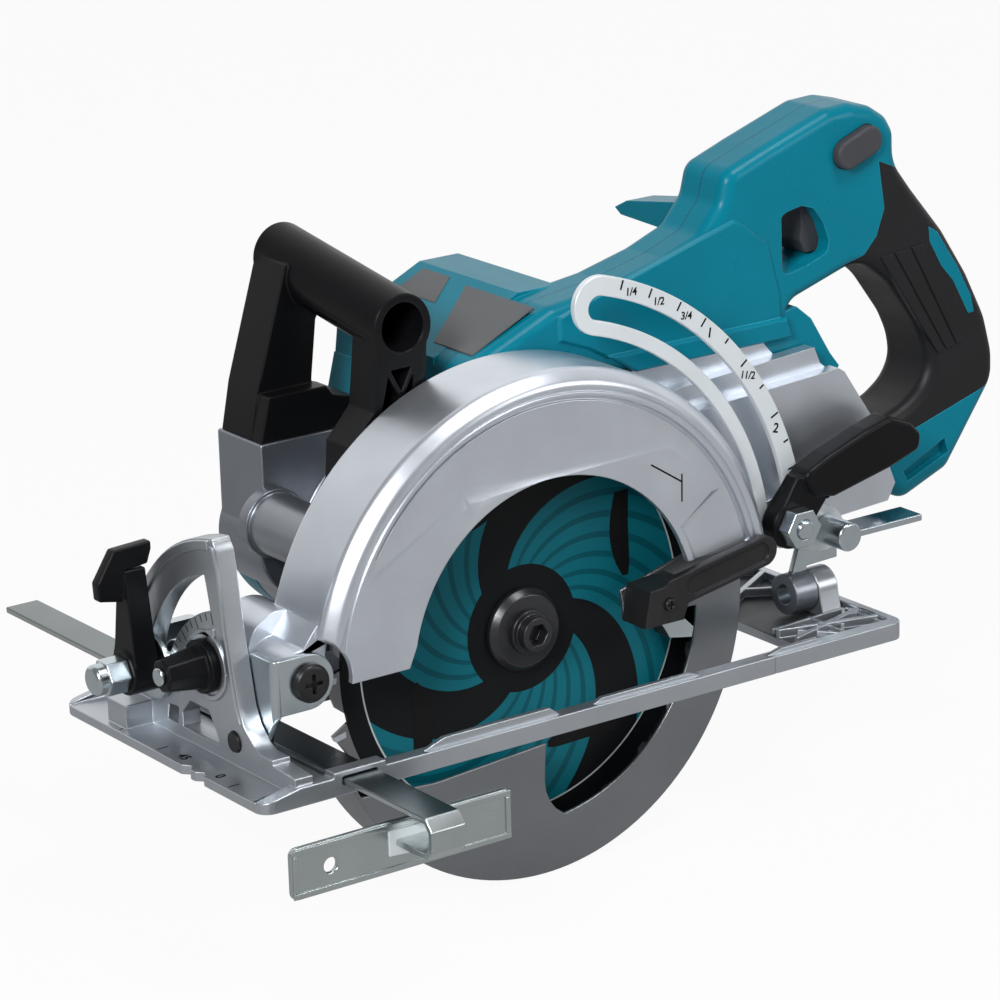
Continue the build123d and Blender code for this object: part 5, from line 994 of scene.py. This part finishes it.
@dataclass
class Base(SubAssembly):
    """Base plate, quadrant, tilt brackets, bevel lock and rip fence.

    Attributes:
        front: X of the quadrant's front face in millimetres.
        openings: Outlines of the quadrant's lower openings.
        leg_edge: Rear edge of the quadrant's leg, from top to foot.
        ribs: Ends of the raised ribs along the rail, low and high, front and rear, and their tops.
        fence: Y of the fence plate's outer face.
        knob: Centre of the stop knob on the quadrant.
        eye_top: Height under which the rear bracket is its rolled eye.
        rail_joint: X of the joint in the rail.
        opening_end: X where the blade's opening ends.
        lattice: Ends of the ribs behind the opening, seen from above.
        notches: Middles of the sight notches across the sole's front edge.
        sole: Height of the sole's upper face.
        lips: Radii of the quadrant's arch and sector lips, inner and outer, with their angles.
        knob_lip: Radii of the lip round the knob.
    """

    front: float = -24.0
    openings: tuple[Outline, ...] = (((45.0, 9.0), (43.4, 15.4), (36.2, 16.0), (37.2, 9.0)),
                                              ((33.4, 15.0), (27.4, 21.0), (14.0, 20.8), (9.0, 13.0), (6.4, 9.0),
                                               (33.6, 9.0)))
    leg_edge: Outline = ((4.2, 88.0), (1.4, 79.0), (-1.2, 56.0), (-7.0, 28.0), (-9.8, 21.6))
    ribs: tuple[tuple[float, ...], ...] = ((31.0, 43.0, 92.0, 98.0, 11.0), (110.0, 117.0, 160.0, 168.0, 9.4),
                                           (194.0, 206.0, 224.0, 228.0, 9.4))
    fence: float = -80.0
    knob: Pair = (13.0, 39.5)
    eye_top: float = 24.0
    rail_joint: float = 201.5
    opening_end: float = 222.0
    lattice: tuple[tuple[Pair, Pair], ...] = (((223.0, -18.0), (262.0, -15.5)), ((244.0, -15.0), (243.0, -40.0)),
                                              ((261.5, -16.5), (241.0, -40.0)), ((225.5, -19.0), (241.5, -39.0)),
                                              ((263.0, -16.0), (263.0, -42.0)))
    notches: Pair = (7.0, -2.5)
    sole: float = 4.0
    lips: tuple[tuple[float, ...], ...] = ((73.4, 77.3, 24.0, 81.0), (40.2, 43.4, 12.0, 76.0))
    knob_lip: Pair = (11.6, 14.0)

    def build(self) -> None:
        """Make and dress the base."""
        self.plate()
        self.quadrant()
        self.scales()
        self.rounded("front_bracket", 0.5, ZINC, "zinc_steel")
        bracket = self.rounded("rear_bracket", 0.5, ZINC, "zinc_steel")
        self.refinish(bracket, DRUM, lambda at: at.z < self.eye_top)
        fence = self.rounded("rip_fence", 0.5, FENCE, "zinc_steel")
        # The fence's bar gets painted shade.
        self.refinish(fence, FENCE_BAR_SHADE, lambda at: at.y > self.fence + 20)
        for node in ("bevel_lock_bolt", "bevel_lock_nut", "bevel_washer", "rear_pivot_pin", "guide_pin",
                     "knob_screw"):
            self.rounded(node, 0.4, ZINC, "zinc_steel")
        self.rounded("front_pivot_pin", 0.4, DARK_STEEL, "zinc_steel")
        self.keep(ZINC, "fence_clamp_screw")
        self.rounded("bevel_lock_lever", 0.8, BLACK, "black_plastic")
        self.rounded("positive_stop_knob", 0.8, BLACK, "black_plastic")
        self.keep(DARK_STEEL, "depth_pivot_screw")
        self.fence_rim()

    def plate(self) -> None:
        """Cut the quadrant's openings and the sight notches, round the casting, and paint shade on the sole's
        recessed rear.
        """
        plate = Bench.copy_of("base_plate")
        cutters = [Bench.prism("opening", outline, Facing.FRONT, self.front - 2, 12) for outline in self.openings]
        notches = [[(-40.5, y + 4.5), (-40.5, y - 4.5), (-36.6, y)] for y in self.notches]
        corners = ((-0.35, -46.3), (-0.35, -48.0), (0.35, -48.0), (0.35, -46.3))
        joint = [(self.rail_joint + x, y) for x, y in corners]
        cutters += [Bench.prism("notch", outline, Facing.TOP, -1, 12) for outline in (*notches, joint)]
        Bench.cut(plate, cutters)
        Bench.bisect(plate, (self.opening_end, 0.0, 0.0), (1.0, 0.0, 0.0))
        Bench.round_edges(plate, 0.5)
        self.stand_in(plate, "base_plate", SHOE, "cast_magnesium")
        # The sole's upper face behind the opening gets painted shade.
        self.refinish(plate, SOLE_SHADE, lambda at: at.x > self.opening_end and abs(at.z - self.sole) < 0.2)
        lattice = Bench.strokes("rear_lattice", self.lattice, 1.5, Facing.TOP, self.sole - 0.2, 2.6)
        Bench.round_edges(lattice, 0.5)
        self.add(lattice, "base", SHOE, "cast_magnesium")
        ribs = [[(low_front, 6.5), (high_front, top), (high_rear, top), (low_rear, 6.5)]
                for low_front, high_front, high_rear, low_rear, top in self.ribs]
        self.add(Bench.rounded_prisms("rail_ribs", ribs, Facing.SIDE, -45.0, 2.6, 0.6), "base", SHOE,
                 "cast_magnesium")

    def quadrant(self) -> None:
        """Raise the lips of the quadrant: along its arch, its sector, its leg and round the knob."""
        leg = list(self.leg_edge) + [(y + 2.7, z) for y, z in reversed(self.leg_edge)]
        outlines = [band(TILT, *lip) for lip in self.lips] + [leg]
        outlines += [band(self.knob, *self.knob_lip, turn, turn + 180) for turn in (0, 180)]
        lips = Bench.rounded_prisms("quadrant_lips", outlines, Facing.FRONT, self.front + 0.4, -1.4, 0.5, 3)
        self.add(lips, "base", SHOE, "cast_magnesium")

    def scales(self) -> None:
        """Print the bevel scale on the quadrant and the cut marks at the front of the sole."""
        ticks = [(polar(TILT, 49.4, angle), polar(TILT, 46.6 if angle % 15 else 44.6, angle))
                 for angle in range(20, 76, 5)]
        pieces = [Bench.strokes("ticks", ticks, 0.5, Facing.FRONT, self.front - 0.06, 0.3),
                  Bench.strokes("sole_ticks", [((-38.0, y), (-33.0, y)) for y in (58.0, 30.0, -21.0)], 0.6,
                                Facing.TOP, self.sole - 0.1, 0.16)]
        for words, angle in (("0", 30), ("15", 45), ("30", 60), ("45", 75)):
            at = Facing.FRONT.point(*polar(TILT, 36.0, angle), self.front - 0.02)
            pieces.append(Bench.lettering("figure", words, 3.0, Side.FORWARD.place(at)))
        for words, y in (("45", 16.5), ("0", -9.5)):
            at = Facing.TOP.point(-34.5, y, self.sole + 0.02)
            pieces.append(Bench.lettering("figure", words, 4.2, Side.UP.place(at)))
        self.add(Bench.join("base_scales", pieces), "base", INK, "cast_magnesium")

    def fence_rim(self) -> None:
        """Raise the rim and the weld pad of the fence plate."""
        bars = [((-48.6, -1.6), (47.6, -1.6)), ((-48.6, -18.4), (47.6, -18.4)), ((-47.4, -17.0), (-47.4, -3.0)),
                ((46.4, -17.0), (46.4, -3.0))]
        rim = Bench.strokes("fence_rim", bars, 2.2, Facing.SIDE, self.fence + 0.3, -1.0)
        Bench.round_edges(rim, 0.4)
        self.add(rim, "fence", FENCE, "zinc_steel")
        corners = ((-7.0, -3.4), (-7.0, -13.2), (13.0, -14.4), (13.0, -3.4))
        pad = Bench.rounded_prisms("weld_pad", [corners], Facing.SIDE, self.fence + 0.3, -0.9, 0.4)
        self.add(pad, "fence", SCALE, "zinc_steel")


@dataclass
class DepthStop(SubAssembly):
    """Depth guide with its scale, and the clamp on it.

    Attributes:
        centre: Centre of the guide's arc.
        edge: Radius of the guide's outer edge in millimetres.
        face: Y of the guide's outer face.
        marks: Where the scale's strokes start, with the depth in inches at the long ones.
    """

    centre: Pair = (115.4, 35.7)
    edge: float = 133.1
    face: float = -8.0
    marks: tuple[tuple[Pair, str], ...] = (
        ((158.2, 159.6), "1/4"), ((171.4, 152.6), "1/2"), ((185.3, 144.9), "3/4"), ((196.8, 135.8), "1"),
        ((207.7, 125.8), ""), ((217.0, 116.1), "11/2"), ((225.5, 104.6), ""), ((233.2, 92.3), "2"),
        ((239.3, 80.5), ""), ((244.2, 69.1), "21/2"))

    def build(self) -> None:
        """Make and dress the depth stop."""
        self.rounded("depth_guide", 0.5, SCALE, "white_scale")
        self.rounded("depth_lock_lever", 1.2, BLACK, "black_plastic", segments=3)
        for node in ("depth_clamp_bolt", "depth_lock_nut"):
            self.rounded(node, 0.5, ZINC, "zinc_steel")
        self.scale()

    def scale(self) -> None:
        """Print the depth scale on the guide."""
        strokes = []
        figures = []
        for (x, z), words in self.marks:
            angle = math.degrees(math.atan2(z - self.centre[1], x - self.centre[0]))
            inner = self.edge - (4.6 if words else 3.2)
            strokes.append((polar(self.centre, self.edge - 0.7, angle), polar(self.centre, inner, angle)))
            if words:
                at = polar(self.centre, self.edge - 4.4, angle - 2.4)
                place = Side.BLADE.place(Facing.SIDE.point(*at, self.face - 0.02), (angle - 90) * 0.25)
                figures.append(Bench.lettering("figure", words, 3.1 if len(words) > 1 else 4.0, place))
        ticks = Bench.strokes("ticks", strokes, 0.8, Facing.SIDE, self.face - 0.06, 0.3)
        self.add(Bench.join("depth_scale", [ticks] + figures), self.body_of("depth_guide"), INK, "white_scale")


@dataclass
class Studio:
    """Floor, light and camera.

    Attributes:
        eye: Where the camera stands, in metres.
        turn: The camera's Euler angles in radians.
        lens: Focal length in millimetres on a sensor 36 mm wide.
        floor_z: Height of the floor in metres.
        aim_z: Height in metres that the softboxes look at.
        mirror_glow: The floor's own light where the saw mirrors it.
        screen: The way from the saw to the bright part of the surround.
        air: The surround's light on dull surfaces.
    """

    eye: Triple = (-0.792288, -1.279588, 0.570787)
    turn: Triple = (1.2669335, 0.0288550, -0.6195940)
    lens: float = 152.457
    floor_z: float = -0.072
    aim_z: float = 0.06
    mirror_glow: float = 0.4
    screen: Triple = (0.573, 0.819, 0.0)
    air: float = 0.14

    def build(self) -> None:
        """Set up the whole studio."""
        self.camera()
        self.floor()
        self.world()
        for name, at, aim_x, size, watts in (("top_softbox", (0.42, -0.6, 1.45), 0.14, 0.5, 10.0),
                                             ("left_softbox", (-1.2, -0.9, 1.0), 0.14, 0.5, 27.0),
                                             ("right_softbox", (1.3, -1.5, 0.7), 0.16, 0.7, 7.0)):
            self.lamp(name, at, (aim_x, 0.0, self.aim_z), size, watts)
        bpy.context.scene.view_settings.view_transform = "Standard"

    def camera(self) -> None:
        """Place the camera at the photograph's viewing angle."""
        bpy.ops.object.select_all(action="DESELECT")
        bpy.ops.object.camera_add(location=self.eye, rotation=self.turn)
        camera = bpy.context.active_object
        camera.name = "view_camera"
        camera.data.sensor_width = 36.0
        camera.data.lens = self.lens
        camera.data.clip_end = 30.0
        bpy.context.scene.camera = camera

    def lamp(self, name: str, at: Sequence[float], aim: Sequence[float], size: float, watts: float) -> None:
        """Add a square softbox that looks at a point."""
        bpy.ops.object.select_all(action="DESELECT")
        bpy.ops.object.light_add(type="AREA", location=at)
        light = bpy.context.active_object
        light.name = name
        light.data.size = size
        light.data.energy = watts
        light.rotation_euler = (Vector(aim) - Vector(at)).to_track_quat("-Z", "Y").to_euler()

    def floor(self) -> None:
        """Lay a pale floor that keeps the object's shadow."""
        bpy.ops.object.select_all(action="DESELECT")
        bpy.ops.mesh.primitive_plane_add(size=14.0, location=(0, 0, self.floor_z))
        floor = bpy.context.active_object
        floor.name = "studio_floor"
        paint = bpy.data.materials.new("floor_white")
        paint.use_nodes = True
        nodes = Nodes(paint.node_tree)
        shader = paint.node_tree.nodes["Principled BSDF"]
        for key, value in (("Base Color", (0.6, 0.6, 0.6)), ("Roughness", 0.9), ("Specular IOR Level", 0.1)):
            nodes.feed(shader.inputs[key], value)
        rays = nodes.add("LightPath").outputs
        strength = nodes.remap(rays["Is Camera Ray"], (0.0, 1.0), (self.mirror_glow, 1.0))
        glow = nodes.add("Emission", {"Color": (1, 1, 1), "Strength": strength})
        mirrored = nodes.math("MULTIPLY", rays["Is Glossy Ray"], 0.75)
        share = nodes.math("MULTIPLY_ADD", rays["Is Camera Ray"], 0.95, mirrored)
        mix = nodes.add("MixShader", {"Fac": share, 1: shader.outputs["BSDF"], 2: glow.outputs["Emission"]})
        nodes.feed(paint.node_tree.nodes["Material Output"].inputs["Surface"], mix.outputs["Shader"])
        floor.data.materials.append(paint)
        floor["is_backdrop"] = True

    def world(self) -> None:
        """Set a pale surround that is dimmer in front of the saw, where metals mirror it."""
        world = bpy.data.worlds.new("studio_air")
        bpy.context.scene.world = world
        world.use_nodes = True
        nodes = Nodes(world.node_tree)
        rays = nodes.add("LightPath").outputs
        mirrored = nodes.math("MAXIMUM", rays["Is Glossy Ray"], rays["Is Transmission Ray"])
        behind = nodes.dot(nodes.add("TexCoord").outputs["Generated"], self.screen)
        screen = nodes.remap(behind, (0.1, 0.55), (0.22, 1.0))
        level = nodes.mix(mirrored, self.air, screen, "FLOAT")
        air = world.node_tree.nodes["Background"]
        nodes.feed(air.inputs["Color"], (1, 1, 1))
        nodes.feed(air.inputs["Strength"], nodes.mix(rays["Is Camera Ray"], level, 1.0, "FLOAT"))


def main() -> None:
    """Build the saw's looks and its studio."""
    logging.basicConfig(level=logging.INFO, format="%(message)s")
    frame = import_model()
    cad_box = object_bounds()
    for kind in (Guards, Blade, Castings, Handles, Base, DepthStop):
        kind(frame).build()
    Studio(floor_z=cad_box[0][2]).build()


if __name__ == "__main__":
    main()
